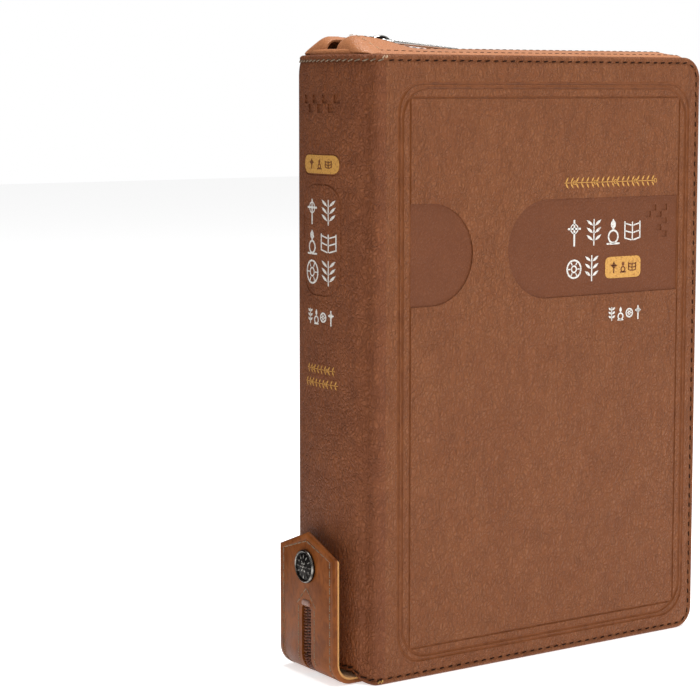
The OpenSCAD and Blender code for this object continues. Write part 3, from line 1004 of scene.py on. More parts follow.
STRAP_FLAT = 10.3
STRAP_BEND = 8.4
BEND_LONG = STRAP_BEND * math.pi / 2
STRAP_TOP = 8.7
TAB_HALF = 19.4
SHOULDER = STRAP_FLAT + BEND_LONG + 49.3 - STRAP_TOP
TAB_POINT = 7.6
SLOT_TOP = STRAP_FLAT + BEND_LONG + 30.5 - STRAP_TOP


def strap_wrap(a, y, v):
    """From the flat tab (a across, y inwards, v up from the strap's end) to its place under and up the spine."""
    n = -y
    if v < STRAP_FLAT:
        return STRAP_FLAT - 4.5 - v, -a, 0.3 - n
    if v < STRAP_FLAT + BEND_LONG:
        t = (v - STRAP_FLAT) / STRAP_BEND
        r = STRAP_BEND + n
        return -4.5 - r * math.sin(t), -a, STRAP_TOP - r * math.cos(t)
    return -TAB_OUT - n, -a, STRAP_TOP + v - STRAP_FLAT - BEND_LONG


def tab_blank(name, half, shoulder, point, rims, rings, start, low=0.0):
    """The tab laid flat: a strap with a pointed end, its edge rolled, closed at the back."""
    begin()
    bpy.ops.mesh.primitive_plane_add(size=1, location=(0, 0, 0), rotation=(math.pi / 2, 0, 0))
    ob = bpy.context.object
    ob.name = name
    a, b = at(-half, 0, low), at(half, 0, shoulder)
    ob.scale = (b.x - a.x, b.z - a.z, 1)
    ob.location = ((a.x + b.x) / 2, start * MM, (a.z + b.z) / 2)
    apply_all(ob)
    edit(ob)
    pick(ob, "EDGE", lambda c, e: c.z > b.z - 1e-6)
    bpy.ops.mesh.subdivide(number_cuts=1)
    pick(ob, "VERT", lambda c, v: c.z > b.z - 1e-6 and abs(c.x - HINGE_X) < 1e-5)
    bpy.ops.transform.translate(value=(0, 0, point * MM))
    y = start
    for deep in rims:
        pick(ob, "EDGE", lambda c, e, d=y: e.is_boundary and abs(c.y - d * MM) < 1e-6)
        bpy.ops.mesh.extrude_edges_move(TRANSFORM_OT_translate={"value": (0, deep * MM, 0)})
        y += deep
    pick(ob, "EDGE", lambda c, e: e.is_boundary)
    bpy.ops.mesh.edge_face_add()
    pick(ob, "FACE", lambda c, f: abs(c.y - start * MM) < 1e-6 and abs(f.normal.y) > 0.9 and len(f.verts) > 4)
    for thick, deep in rings:
        bpy.ops.mesh.inset(thickness=thick * MM, depth=deep * MM, use_even_offset=True)
    begin()
    return outward(ob)


def rows_cut(ob, levels):
    edit(ob)
    for v in levels:
        bpy.ops.mesh.select_all(action="SELECT")
        bpy.ops.mesh.bisect(plane_co=at(0, 0, v), plane_no=(0, 0, 1))
    begin()
    return ob


BEND_ROWS = [STRAP_FLAT - 1.0 + i * 1.0 for i in range(17)]


def tab_blend(ob):
    begin()
    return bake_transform(ob)


def lathe(profile, sides=40):
    """A profile of radius and height in millimetres, spun round the Z axis."""
    ob = drawn("lathe", [Vector((r * MM, 0, h * MM)) for r, h in profile])
    whole(ob)
    bpy.ops.mesh.spin(steps=sides, angle=2 * math.pi, center=(0, 0, 0), axis=(0, 0, 1))
    begin()
    return outward(ob, 2e-6)


def outwards_x(ob, x, y, z):
    """Turns a lathed piece to face out of the spine and puts it in its place."""
    ob.data.transform(Matrix.Translation(at(x, y, z)) @ Matrix.Rotation(-math.pi / 2, 4, "Y"))
    return ob


# ---------------------------------------------------------------- foil ornament


def flat_bar(x, z, long, wide, angle=0.0, corner=0.25):
    """A foil stroke, drawn flat: place, length, width and slope."""
    begin()
    bpy.ops.mesh.primitive_plane_add(size=1, location=(0, 0, 0))
    ob = bpy.context.object
    ob.scale = (long * MM, wide * MM, 1)
    apply_all(ob)
    whole(ob)
    bpy.ops.mesh.bevel(offset=min(corner, wide * 0.45) * MM, segments=3, affect="VERTICES")
    begin()
    ob.data.transform(Matrix.Translation((x * MM, z * MM, 0)) @ Matrix.Rotation(math.radians(angle), 4, "Z"))
    return ob


def flat_ring(x, z, r, wide, squash=1.0, sides=28):
    begin()
    bpy.ops.mesh.primitive_circle_add(vertices=sides, radius=r * MM, location=(0, 0, 0), fill_type="NOTHING")
    ob = bpy.context.object
    whole(ob)
    bpy.ops.mesh.extrude_edges_move(TRANSFORM_OT_translate={"value": (0, 0, 0)})
    k = (r - wide) / r
    bpy.ops.transform.resize(value=(k, k, 1))
    begin()
    ob.data.transform(Matrix.Translation((x * MM, z * MM, 0)) @ Matrix.Diagonal((squash, 1, 1, 1)))
    return ob


def flat_leaf(x, z, long, wide, angle):
    """A pointed leaf: a disc narrowed to two tips."""
    begin()
    bpy.ops.mesh.primitive_circle_add(vertices=16, radius=MM / 2, location=(0, 0, 0), fill_type="NGON")
    ob = bpy.context.object
    whole(ob)
    bpy.ops.transform.resize(value=(long, wide, 1))
    pick(ob, "VERT", lambda c, v: abs(c.x) > 0.33 * long * MM)
    bpy.ops.transform.resize(value=(1, 0.5, 1))
    begin()
    ob.data.transform(Matrix.Translation((x * MM, z * MM, 0)) @ Matrix.Rotation(math.radians(angle), 4, "Z"))
    return ob


def motif(kind, w, h, t):
    """A generic ornament of a given width, height and stroke, standing on its middle line."""
    a, b = w / 2, h / 2
    if kind == "cross":
        return [flat_bar(0, 0, t * 1.15, h), flat_bar(0, h * 0.16, w * 0.78, t * 1.15),
                flat_ring(0, h * 0.16, w * 0.24, t * 0.6)]
    if kind == "sprig":
        parts = [flat_bar(0, 0, t * 0.75, h)]
        for k in (-0.28, 0.0, 0.28):
            for s in (-1, 1):
                parts.append(flat_leaf(s * w * 0.25, h * (k + 0.08), w * 0.46, t * 1.5, s * 35))
        return parts
    if kind == "book":
        parts = [flat_bar(0, -h * 0.02, t * 0.8, h * 0.72)]
        for s in (-1, 1):
            for k in (-0.36, -0.08, 0.2):
                parts.append(flat_bar(s * w * 0.26, h * (k + 0.04), w * 0.42, t * 0.75, s * 14))
            parts.append(flat_bar(s * w * 0.47, h * 0.03, t * 0.8, h * 0.66))
        return parts
    if kind == "lamp":
        return [flat_ring(0, -h * 0.2, h * 0.27, t), flat_leaf(0, h * 0.26, h * 0.42, w * 0.3, 90),
                flat_bar(0, -b + t / 2, w * 0.8, t)]
    if kind == "wheel":
        parts = [flat_ring(0, 0, min(a, b), t), flat_ring(0, 0, min(a, b) * 0.4, t * 0.8)]
        for k in range(6):
            r = min(a, b) * 0.66
            parts.append(flat_bar(r * math.cos(k * math.pi / 3), r * math.sin(k * math.pi / 3), r * 0.62,
                                  t * 0.7, k * 60))
        return parts
    parts = [flat_bar(0, b - t / 2, w * 0.84, t), flat_bar(0, t / 2 - b, w * 0.84, t)]
    for s in (-1, 1):
        parts.append(flat_leaf(s * w * 0.2, 0, h * 0.56, t * 1.7, 90 + s * 18))
    return parts


def laid(name, parts, place, thick=0.12, fine=0):
    """Foil strokes joined, laid on the leather and given their thickness. place maps flat x and z."""
    ob = joined(name, parts)
    if fine:
        sliced(ob, [(k * 1.2 * MM, 0, 0) for k in range(-fine, fine + 1)], (1, 0, 0))
    for v in ob.data.vertices:
        v.co = place(v.co.x / MM, v.co.y / MM)
    ob.data.update()
    return modified(ob, "SOLIDIFY", thickness=thick * MM, offset=0.0, use_even_offset=False)


def shifted(parts, x, z):
    for p in parts:
        p.data.transform(Matrix.Translation((x * MM, z * MM, 0)))
    return parts


# ---------------------------------------------------------------- what a user can change


def leather_colour(name, description, code):
    """A leather's colour in the panel."""
    return FloatVectorProperty(name=name, description=description, subtype="COLOR", size=3, min=0, max=1,
                               default=linear(code)[:3])


def millimetres(name, description, default, low, high):
    return FloatProperty(name=name, description=description + ", in millimetres", default=default, min=low,
                         max=high)


class BookLook(bpy.types.PropertyGroup):
    cover: leather_colour("Cover leather", "Dye of the pebbled cover leather", "#804A26")
    # Darker than the cover leather: painted shade on the spine's side.
    spine: leather_colour("Spine leather", "Dye of the spine's leather", "#753F1E")
    # Paler than the cover partly by its own tone and partly as painted highlight of the top light.
    gusset: leather_colour("Gusset leather", "Dye of the strips that hold the zip", "#B87A52")
    tab: leather_colour("Tab leather", "Dye of the smooth snap tab", "#6E380F")


class BookStitching(bpy.types.PropertyGroup):
    cover_pitch: millimetres("Cover stitch spacing", "From one stitch to the next", 4.1, 2.0, 8.0)
    cover_length: millimetres("Cover stitch length", "Length of the thread that shows", 1.75, 1.0, 6.0)
    spine_pitch: millimetres("Spine stitch spacing", "Closer stitches at the spine's ends", 3.1, 2.0, 8.0)
    tab_pitch: millimetres("Tab stitch spacing", "Stitches round the snap tab", 3.3, 2.0, 8.0)
    thick: millimetres("Thread thickness", "Thickness of the sewing thread", 0.54, 0.2, 1.5)
    tooth_pitch: millimetres("Tab coil spacing", "From one turn of the tab's coil to the next", 1.2, 0.8, 3.0)


class BookStudio(bpy.types.PropertyGroup):
    lens: FloatProperty(name="Lens", description="Focal length", default=105.7, unit="CAMERA")
    key: FloatProperty(name="Key light", description="Power of the light in front and to the right", default=4.9,
                       unit="POWER")
    top: FloatProperty(name="Top light", description="Power of the softbox above", default=19.0, unit="POWER")
    fill: FloatProperty(name="Fill light", description="Power of the light on the spine's side", default=3.6,
                        unit="POWER")


def look():
    return bpy.context.scene.book_look


def sewing():
    return bpy.context.scene.book_sewing


# ---------------------------------------------------------------- one operator for each group of pieces


class BIBLE_OT_stage(bpy.types.Operator):
    """Camera, pale floor and soft studio light"""
    bl_idname = "bible.stage"
    bl_label = "Stage"

    def execute(self, context):
        studio = context.scene.book_studio
        azimuth, down = math.radians(-33.93), math.radians(5.64)
        ahead = Vector((-math.sin(azimuth) * math.cos(down), math.cos(azimuth) * math.cos(down), -math.sin(down)))
        begin()
        bpy.ops.object.camera_add(location=at(-435.4, -655.7, 226.0),
                                  rotation=ahead.to_track_quat("-Z", "Y").to_euler())
        cam = context.object
        cam.data.lens, cam.data.sensor_width = studio.lens, 36.0
        cam.data.shift_x, cam.data.shift_y = 0.0055, -0.079
        cam.data.clip_start, cam.data.clip_end = 0.01, 20
        context.scene.camera = cam

        begin()
        bpy.ops.mesh.primitive_plane_add(size=8, location=(0, 0, 0))
        floor = context.object
        floor.name = "floor"
        floor.data.materials.append(MATERIALS["paper"])

        world = bpy.data.worlds.new("studio")
        context.scene.world = world
        world.use_nodes = True
        world.node_tree.nodes.clear()
        seen = add(world.node_tree, "LightPath").outputs["Is Camera Ray"]
        bright = add(world.node_tree, "MapRange", {"Value": seen, "To Min": 0.36, "To Max": 1.0}).outputs[0]
        sky = add(world.node_tree, "Background", {"Color": (1, 1, 1, 1), "Strength": bright})
        add(world.node_tree, "OutputWorld", {"Surface": sky.outputs[0]})

        centre = at(70, 0, 120)
        for name, place, size, power in (
            ("key", (0.68, -0.85, 0.78), 0.5, studio.key),
            ("top", (0.1, 0.0, 1.3), 0.7, studio.top),
            ("fill", (-0.75, -1.5, 0.45), 0.8, studio.fill),
        ):
            spot = centre + Vector(place)
            begin()
            bpy.ops.object.light_add(type="AREA", location=spot,
                                     rotation=(centre - spot).to_track_quat("-Z", "Y").to_euler())
            lamp = context.object
            lamp.name = name + "_light"
            lamp.data.energy, lamp.data.size = power, size

        begin()
        bpy.ops.mesh.primitive_plane_add(size=1, location=at(-150, 120, 190), rotation=(math.pi / 2, 0, 0.35))
        card = context.object
        card.name = "flag_card"
        card.scale = (0.42, 0.42, 1)
        apply_all(card)
        card.visible_diffuse = card.visible_shadow = False
        card.data.materials.append(MATERIALS["card"])
        card.visible_camera = False
        context.scene.view_settings.view_transform = "Standard"
        return {"FINISHED"}


class BIBLE_OT_covers(bpy.types.Operator):
    """Leather of the front and back covers, padded, edge-rolled, creased and pressed"""
    bl_idname = "bible.covers"
    bl_label = "Covers"

    def execute(self, context):
        front = cover_panel("front_cover_leather")
        back = mirrored(front, "back_cover_leather")
        press_lines(front)
        press_shapes(front)
        back = reshape(back, lambda x, y, z: (x, -y, z))
        outward(back)
        press_lines(back)
        back = reshape(back, lambda x, y, z: (x, -y, z))
        outward(back)
        finish(front, "front_cover_leather", "front_cover", MATERIALS["cover"],
               replaces=("front_leather",))
        pressed_faces(front, MATERIALS["pressed"], MATERIALS["creased"])
        finish(back, "back_cover_leather", "back_cover", MATERIALS["cover"],
               replaces=("back_leather",))
        return {"FINISHED"}


class BIBLE_OT_spine(bpy.types.Operator):
    """Leather of the rounded spine and of the two hinges beside it"""
    bl_idname = "bible.spine"
    bl_label = "Spine and hinges"

    def execute(self, context):
        spine = skin_wall(wrapped_skin("spine_skin", JOINT_LONG, PATH_LONG - JOINT_LONG))
        spine_tools(spine)
        finish(spine, "spine_skin", BOOK, MATERIALS["spine"], replaces=("spine_leather",))
        front = skin_wall(wrapped_skin("front_joint_skin", 0, JOINT_LONG))
        back = mirrored(front, "back_joint_skin")
        for ob, side, body in ((front, -1, "front_cover"), (back, 1, "back_cover")):
            finish(ob, ob.name, None, MATERIALS["spine"])
            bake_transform(ob)
        return {"FINISHED"}


def skin_wall(ob):
    outward(ob)
    flip_if_inside(ob)
    modified(ob, "SOLIDIFY", thickness=1.0 * MM, offset=-1.0, use_even_offset=False)
    return reshape(ob, lambda x, y, z: (x, y, min(max(z, 0.0), HEIGHT)))


class BIBLE_OT_gussets(bpy.types.Operator):
    """Leather strips that carry the zip round head, fore-edge and tail"""
    bl_idname = "bible.gussets"
    bl_label = "Gussets"

    def execute(self, context):
        front = gusset("front_gusset")
        back = mirrored(front, "back_gusset")
        for ob, side in ((front, "front"), (back, "back")):
            finish(ob, ob.name, side + "_cover", MATERIALS["gusset"], 40,
                   [f"{side}_gusset_{edge}" for edge in ("head", "fore", "tail")])
        for side, sign in (("front", -1), ("back", 1)):
            for y, place in ((8.9, "coil"), (20.1, "cover")):
                line = zip_line(gusset_depth(y) + 0.02, sign * y)
                line = [Vector((p.x, p.y, p.z + head_rise(p.x, p.y) if p.z > HEIGHT / 2 else max(p.z, 0.4)))
                        for p in line]
                pts = [at(*p) for p in line]

                def outs(p):
                    return zip_out(Vector(((p.x - HINGE_X) / MM, 0, p.z / MM)))

                seam(f"{side}_gusset_seam_{place}", pts, outs, 3.4, 1.8, 0.5,
                     MATERIALS["dark_thread"], side + "_cover")
        return {"FINISHED"}


class BIBLE_OT_zip(bpy.types.Operator):
    """Interlocked turns of the zip's coil on the covers, with their sewing; the turns at the spine's head and in the
    tab come with those pieces
    """
    bl_idname = "bible.zip"
    bl_label = "Zip coil"

    def execute(self, context):
        for side, sign in (("front", -1), ("back", 1)):
            ob = coil(side + "_coil_turns", sign, 0.5 if sign > 0 else 0.0)
            finish(ob, ob.name, side + "_cover", MATERIALS["coil"], 60, (side + "_coil",))
            cords = coil_cords(side + "_coil_sewing", sign)
            finish(cords, cords.name, side + "_cover", MATERIALS["dark_thread"], 60)
        return {"FINISHED"}


class BIBLE_OT_slider(bpy.types.Operator):
    """Slider, its bridge, the loop and the pull bar"""
    bl_idname = "bible.slider"
    bl_label = "Slider and pull"

    def execute(self, context):
        x0, x1, _, _, low, high = span("slider_body")
        plates = []
        for z0, z1 in ((high - 1.25, high), (low, low + 1.1)):
            plate = box(x0, x1, -5.0, 5.0, z0, z1)
            edit(plate, "EDGE")
            pick(plate, "EDGE", lambda c, e: abs((e.verts[1].co - e.verts[0].co).normalized().z) > 0.9)
            bpy.ops.mesh.bevel(offset=3.2 * MM, segments=8, affect="EDGES")
            pick(plate, "EDGE", lambda c, e: abs(e.verts[1].co.z - e.verts[0].co.z) < 1e-6)
            bpy.ops.mesh.bevel(offset=0.3 * MM, segments=3, affect="EDGES")
            begin()
            plates.append(plate)
        plates.append(box(x0 + 0.6, x0 + 3.2, -0.9, 0.9, low + 0.8, high - 1.0, 0.2))
        for y in (-4.3, 4.3):
            plates.append(box(x0 + 4.6, x1 - 1.4, y - 0.45, y + 0.45, high - 2.3, high - 1.0, 0.2))
        body = joined("slider_plates", plates)
        finish(body, "slider_plates", "zip_slider", MATERIALS["antique"],
               replaces=("slider_body",))

        top = span("slider_bridge")[5] + 0.3
        pin = (JOINT["zip_pull_pivot"]["pos_m"][0] - HINGE_X) / MM
        z0, half = high - 0.4, 3.8
        pts = [Vector((pin - half * 0.8, 0, z0))]
        pts += [Vector((pin + half * math.cos(a), 0, top - 1.7 + 1.7 * math.sin(a)))
                for a in [math.pi * (1.12 - 1.24 * i / 14) for i in range(15)]]
        pts += [Vector((pin + half * 0.8, 0, z0))]
        arch = tube("slider_arch", [at(*p) for p in pts], 0.42 * MM, sides=4)
        reshape(arch, lambda x, y, z: (x, y * 2.6, z))
        finish(arch, "slider_arch", "zip_slider", MATERIALS["nickel"], 50,
               replaces=("slider_bridge",))
        lock = box(pin - 3.4, pin + 3.4, -0.95, 0.95, z0, top - 0.15)
        edit(lock, "EDGE")
        pick(lock, "EDGE", lambda c, e: c.z > (top - 0.3) * MM and abs(e.verts[0].co.x - e.verts[1].co.x) < 1e-6)
        bpy.ops.mesh.bevel(offset=1.2 * MM, segments=5, affect="EDGES")
        begin()
        finish(lock, "slider_lock", "zip_slider", MATERIALS["sunk"], 40)
        return pull_pieces()


def pull_pieces():
    """The loop through the bridge and the long bar that is pulled."""
    x0, x1 = span("pull_link")[:2]
    pz = span("slider_body")[5] + 1.9
    slope = math.tan(math.radians(4.8))
    pin = (JOINT["zip_pull_pivot"]["pos_m"][0] - HINGE_X) / MM

    def drop(x):
        return pz - (x - pin) * slope

    near, far, r = x0 + 0.65, x1 - 0.7, 2.1
    ring = arc(near + r * 0.4, 0, r, 270, 90, 12) + arc(far - r * 0.4, 0, r, 90, -90, 12)
    ring = [(near + (x - near) * 0.4 if x < near + r * 0.4 else x, y) for x, y in ring]
    ring = [(min(max(x, near), far), y) for x, y in ring]
    ring = [p for i, p in enumerate(ring) if i == 0 or math.dist(p, ring[i - 1]) > 0.02]
    pts = [at(x, y, drop(x)) for x, y in ring]
    link = tube("pull_loop", pts, 0.78 * MM, True, sides=4)
    finish(link, "pull_loop", "zip_pull", MATERIALS["nickel"], 50, replaces=("pull_link",))

    x0, x1 = span("pull_bar")[:2]
    bar = box(x0, x1, -3.0, 3.0, -0.8, 0.8)
    edit(bar, "EDGE")
    pick(bar, "EDGE", lambda c, e: abs((e.verts[1].co - e.verts[0].co).normalized().z) > 0.9)
    bpy.ops.mesh.bevel(offset=1.6 * MM, segments=6, affect="EDGES")
    pick(bar, "FACE", lambda c, f: f.normal.z > 0.9)
    bpy.ops.mesh.inset(thickness=0.75 * MM, depth=0, use_even_offset=True)
    bpy.ops.mesh.inset(thickness=0.35 * MM, depth=-0.35 * MM, use_even_offset=True)
    pick(bar, "EDGE", lambda c, e: abs(abs(c.z) - 0.8 * MM) < 1e-6 and any(abs(f.normal.z) < 0.2
                                                                            for f in e.link_faces)
         and abs(e.verts[1].co.z - e.verts[0].co.z) < 1e-6)
    bpy.ops.mesh.bevel(offset=0.25 * MM, segments=3, affect="EDGES")
    begin()
    reshape(bar, lambda x, y, z: (x, y, z * (1 - 0.45 * (x - x0) / (x1 - x0)) + drop(x)))
    cut(bar, rod(((x0 + 2.0), 0, drop(x0 + 2)), (0, 0, 1), 1.25, 6, 24))
    finish(bar, "pull_bar_plate", "zip_pull", MATERIALS["nickel"], 40, replaces=("pull_bar",))
    return {"FINISHED"}


class BIBLE_OT_head(bpy.types.Operator):
    """The folds of leather beside the zip at the spine's head, and the lip rolled inside the spine"""
    bl_idname = "bible.head"
    bl_label = "Head folds"

    def execute(self, context):
        fold = head_fold("head_fold_front_leather")
        other = mirrored(fold, "head_fold_back_leather")
        for ob, side in ((fold, "front"), (other, "back")):
            finish(ob, ob.name, BOOK, MATERIALS["gusset"], 50, ("head_fold_" + side,))
        marks = []
        for i in range(5):
            y = -7.5 - 2.9 * i
            here, ahead = (Vector((2.9 + 0.36 * (-q - 7.5), q, gusset_top(q) + 0.42)) for q in (y, y - 0.5))
            marks.append(turned(at(*here), at(*ahead) - at(*here), Vector((0, -0.3, 1))))
        pale = copies("head_fold_stitches", thread(1.7, 0.34), marks)
        finish(pale, "head_fold_stitches", BOOK, MATERIALS["pale_thread"])
        for name, spot, key in (("head_thread_end", (5.0, 0.2 - HALF, 238.9), "pale_thread"),
                                ("tail_thread_end", (3.4, 0.2 - HALF, 1.6), "gold_thread")):
            x, y, z = spot
            pts = [at(x - 1.0, y, z - 0.5), at(x - 0.4, y - 0.35, z + 0.5), at(x + 0.3, y - 0.4, z - 0.4),
                   at(x + 0.9, y - 0.25, z + 0.6), at(x + 1.3, y + 0.1, z - 0.1)]
            knot = tube(name, pts, 0.2 * MM, sides=2)
            finish(knot, name, "front_cover", MATERIALS[key], 60)

        roll = head_roll("spine_head_lip")
        finish(roll, "spine_head_lip", BOOK, MATERIALS["gusset"], 50, ("spine_head_roll",))

        places = []
        x0, z = span("head_chain_end")[0], span("head_chain_end")[5] - 1.0
        for i in range(6):
            for sign in (-1, 1):
                place = at(x0 + 0.5 + TURN * (i + (0.5 if sign > 0 else 0)), sign * TURN_OUT, z)
                places.append(stood(place, Vector((1, 0, 0)), Vector((0, -sign, 0)), Vector((0, 0, 1))))
        end = copies("head_coil_end", tooth(), places)
        outward(end)
        finish(end, "head_coil_end", BOOK, MATERIALS["coil"], 60, ("head_chain_end",))
        return {"FINISHED"}


def gusset_top(y):
    """Height of the gusset's outer face where the zip begins."""
    return ZIP_HIGH - gusset_depth(y) + GUSSET_RISE * crest(y)


def head_fold(name):
    """A strip over the gusset's end, arched towards the spine and tucked down inside it."""
    ob = drawn(name, [at(7.6 - 9.3 * i / 14, -3.65, 0) for i in range(15)])
    whole(ob)
    for w in (0.35, 0.5, 0.8, 1.3, 2.0, 2.5, 2.8, 2.6, 2.3, 1.6, 1.2, 0.7, 0.3):
        pull_out(y=-w)
    begin()

    def arch(x, y, z):
        high = gusset_top(y) + 0.35
        low = min(240.6, high - 0.5)
        t = min(max((3.6 - x) / 5.3, 0.0), 1.0)
        k = min(max((abs(y) - 16.5) / 6.1, 0.0), 1.0)
        end = max(0.0, 1 - (22.6 - abs(y)) / 1.5)
        tuck = max(0.0, 1 - (abs(y) - 3.65) / 0.9)
        return (7.6 - (7.6 - x) * (1 - 0.4 * k * k), y,
                low + (high - low) * math.sqrt(max(0.0, 1 - t * t)) - 0.5 * tuck - 0.3 * end)
    reshape(ob, arch)
    outward(ob)
    if sum(f.normal.z * f.area for f in ob.data.polygons) < 0:
        flipped(ob)
    modified(ob, "SOLIDIFY", thickness=1.1 * MM, offset=-1.0)
    modified(ob, "BEVEL", width=0.35 * MM, segments=3, limit_method="ANGLE", angle_limit=math.radians(50))
    return modified(ob, "SUBSURF", levels=1, render_levels=1)


def head_roll(name):
    """A soft roll along the inside of the spine's head edge."""
    deep, high = 4.3, 240.4
    pts = []
    for i in range(-16, 17):
        y = 18.0 * i / 16
        r = ARC - deep
        pts.append(at(ARC_X - math.sqrt(r * r - y * y), y, high))
    ob = tube(name, pts, 1.0 * MM, sides=4)
    return reshape(ob, lambda x, y, z: (x, y, high + (z - high) * 1.7))


class BIBLE_OT_tab(bpy.types.Operator):
    """Snap tab with its strap under the tail, lining, stitches and the zip's end in its slot"""
    bl_idname = "bible.tab"
    bl_label = "Snap tab"

    def execute(self, context):
        outer = tab_blank("tab_and_strap", TAB_HALF, SHOULDER, TAB_POINT, (0.9,),
                          ((0.3, 0.45), (0.5, 0.25), (1.4, 0.0), (0.35, -0.26), (0.45, 0.2)), 0.7)
        slot_cut(outer, 3.2)
        rows_cut(outer, BEND_ROWS)
        reshape(outer, strap_wrap)
        outward(outer)
        finish(outer, "tab_and_strap", None, MATERIALS["tab"],
               replaces=("tab_leather", "tail_strap"))
        tab_blend(outer)

        inner = tab_blank("tab_lining_layer", TAB_HALF - 0.2, SHOULDER - 0.8, TAB_POINT - 0.4, (0.8,), (), 1.65)
        slot_cut(inner, 3.6)
        rows_cut(inner, BEND_ROWS)
        reshape(inner, strap_wrap)
        outward(inner)
        finish(inner, "tab_lining_layer", None, MATERIALS["raw"],
               replaces=("tab_lining", "tail_strap_lining"))
        tab_blend(inner)
        tab_seams()
        tab_zip_end()
        return {"FINISHED"}


def slot_cut(ob, half):
    """The slot with a pointed top that shows the zip's end, and runs on under the strap."""
    top, low = SLOT_TOP, -2.0
    outline = [(-half, low), (-half, top - half * 1.15), (0, top), (half, top - half * 1.15), (half, low)]
    tool = drawn("slot", [at(x, -3, z) for x, z in outline], closed=True)
    whole(tool)
    bpy.ops.mesh.edge_face_add()
    pull_out(y=8)
    begin()
    outward(tool)
    return cut(ob, tool)


def wrapped_line(points, y=0.0, step=1.0):
    """Points of the flat tab, close together, taken to their place on the spine, with their outward directions."""
    dense = []
    for (a0, v0), (a1, v1) in zip(points, points[1:]):
        n = max(1, round(math.hypot(a1 - a0, v1 - v0) / step))
        dense += [(a0 + (a1 - a0) * i / n, v0 + (v1 - v0) * i / n) for i in range(n)]
    dense.append(points[-1])
    return [at(*strap_wrap(a, y, v)) for a, v in dense], [
        (at(*strap_wrap(a, y - 1, v)) - at(*strap_wrap(a, y, v))).normalized() for a, v in dense]


def tab_seams():
    """Two rows of stitches: round the tab and round its slot."""
    inset = 3.1
    half = TAB_HALF - inset
    low = STRAP_FLAT + 3.0
    tip = SHOULDER + TAB_POINT - inset * 1.1
    rim = [(-half, low), (-half, SHOULDER - 1.1), (0, tip), (half, SHOULDER - 1.1), (half, low)]
    s = 5.6
    slot = [(-s, STRAP_FLAT + BEND_LONG - 4), (-s, SLOT_TOP - 1.5), (0, SLOT_TOP + 4.6), (s, SLOT_TOP - 1.5),
            (s, STRAP_FLAT + BEND_LONG - 4)]
    for name, line in (("tab_edge_seam", rim), ("tab_slot_seam", slot)):
        pts, outs = wrapped_line(line, 0.12)
        lookup = list(zip(pts, outs))

        def out(p, lookup=lookup):
            return min(lookup, key=lambda q: (q[0] - p).length_squared)[1]

        places = [turned(p, d, out(p)) for p, d in spaced(pts, sewing().tab_pitch * MM)]
        ob = copies(name, thread(2.5, sewing().thick), places)
        finish(ob, name, None, MATERIALS["grey_thread"])
        tab_blend(ob)


def tab_zip_end():
    """The end of the zip in the tab's slot, and the folded stop above it."""
    top = STRAP_FLAT + BEND_LONG + span("tab_chain")[5] - STRAP_TOP - 0.4
    edge = STRAP_FLAT + BEND_LONG
    for name, body, node, v0, v1 in (("tail_coil_turns", BOOK, "tail_chain", 0.7, edge),
                                     ("tab_coil_turns", "snap_tab", "tab_chain", edge + 0.5, top)):
        places = []
        count = int((v1 - v0) / sewing().tooth_pitch)
        for i in range(count + 1):
            for sign in (-1, 1):
                v = v0 + sewing().tooth_pitch * (i + (0.5 if sign > 0 else 0.0))
                place = at(*strap_wrap(0, 0.95, v))
                along = (at(*strap_wrap(0, 0.95, v + 0.1)) - place).normalized()
                out = (at(*strap_wrap(0, 0, v)) - place).normalized()
                beside = place + Vector((0, sign * TURN_OUT * MM, 0))
                places.append(stood(beside, along, Vector((0, -sign, 0)), out))
        ob = outward(copies(name, tooth(), places))
        finish(ob, name, body, MATERIALS["coil"], 60, (node,))

    low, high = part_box("tab_stop")
    x0, x1 = (low.x - HINGE_X) / MM, (high.x - HINGE_X) / MM
    stop = box(x0 - 0.7, x1, low.y / MM, high.y / MM, low.z / MM, high.z / MM)
    whole(stop)
    bpy.ops.mesh.subdivide(number_cuts=2)
    pick(stop, "VERT", lambda c, v: c.z > high.z - 1e-5)
    bpy.ops.transform.resize(value=(0.8, 0.7, 1), center_override=(low + high) / 2)
    begin()
    modified(stop, "SUBSURF", levels=2, render_levels=2)
    finish(stop, "tab_folded_stop", "snap_tab", MATERIALS["stop"], replaces=("tab_stop",))


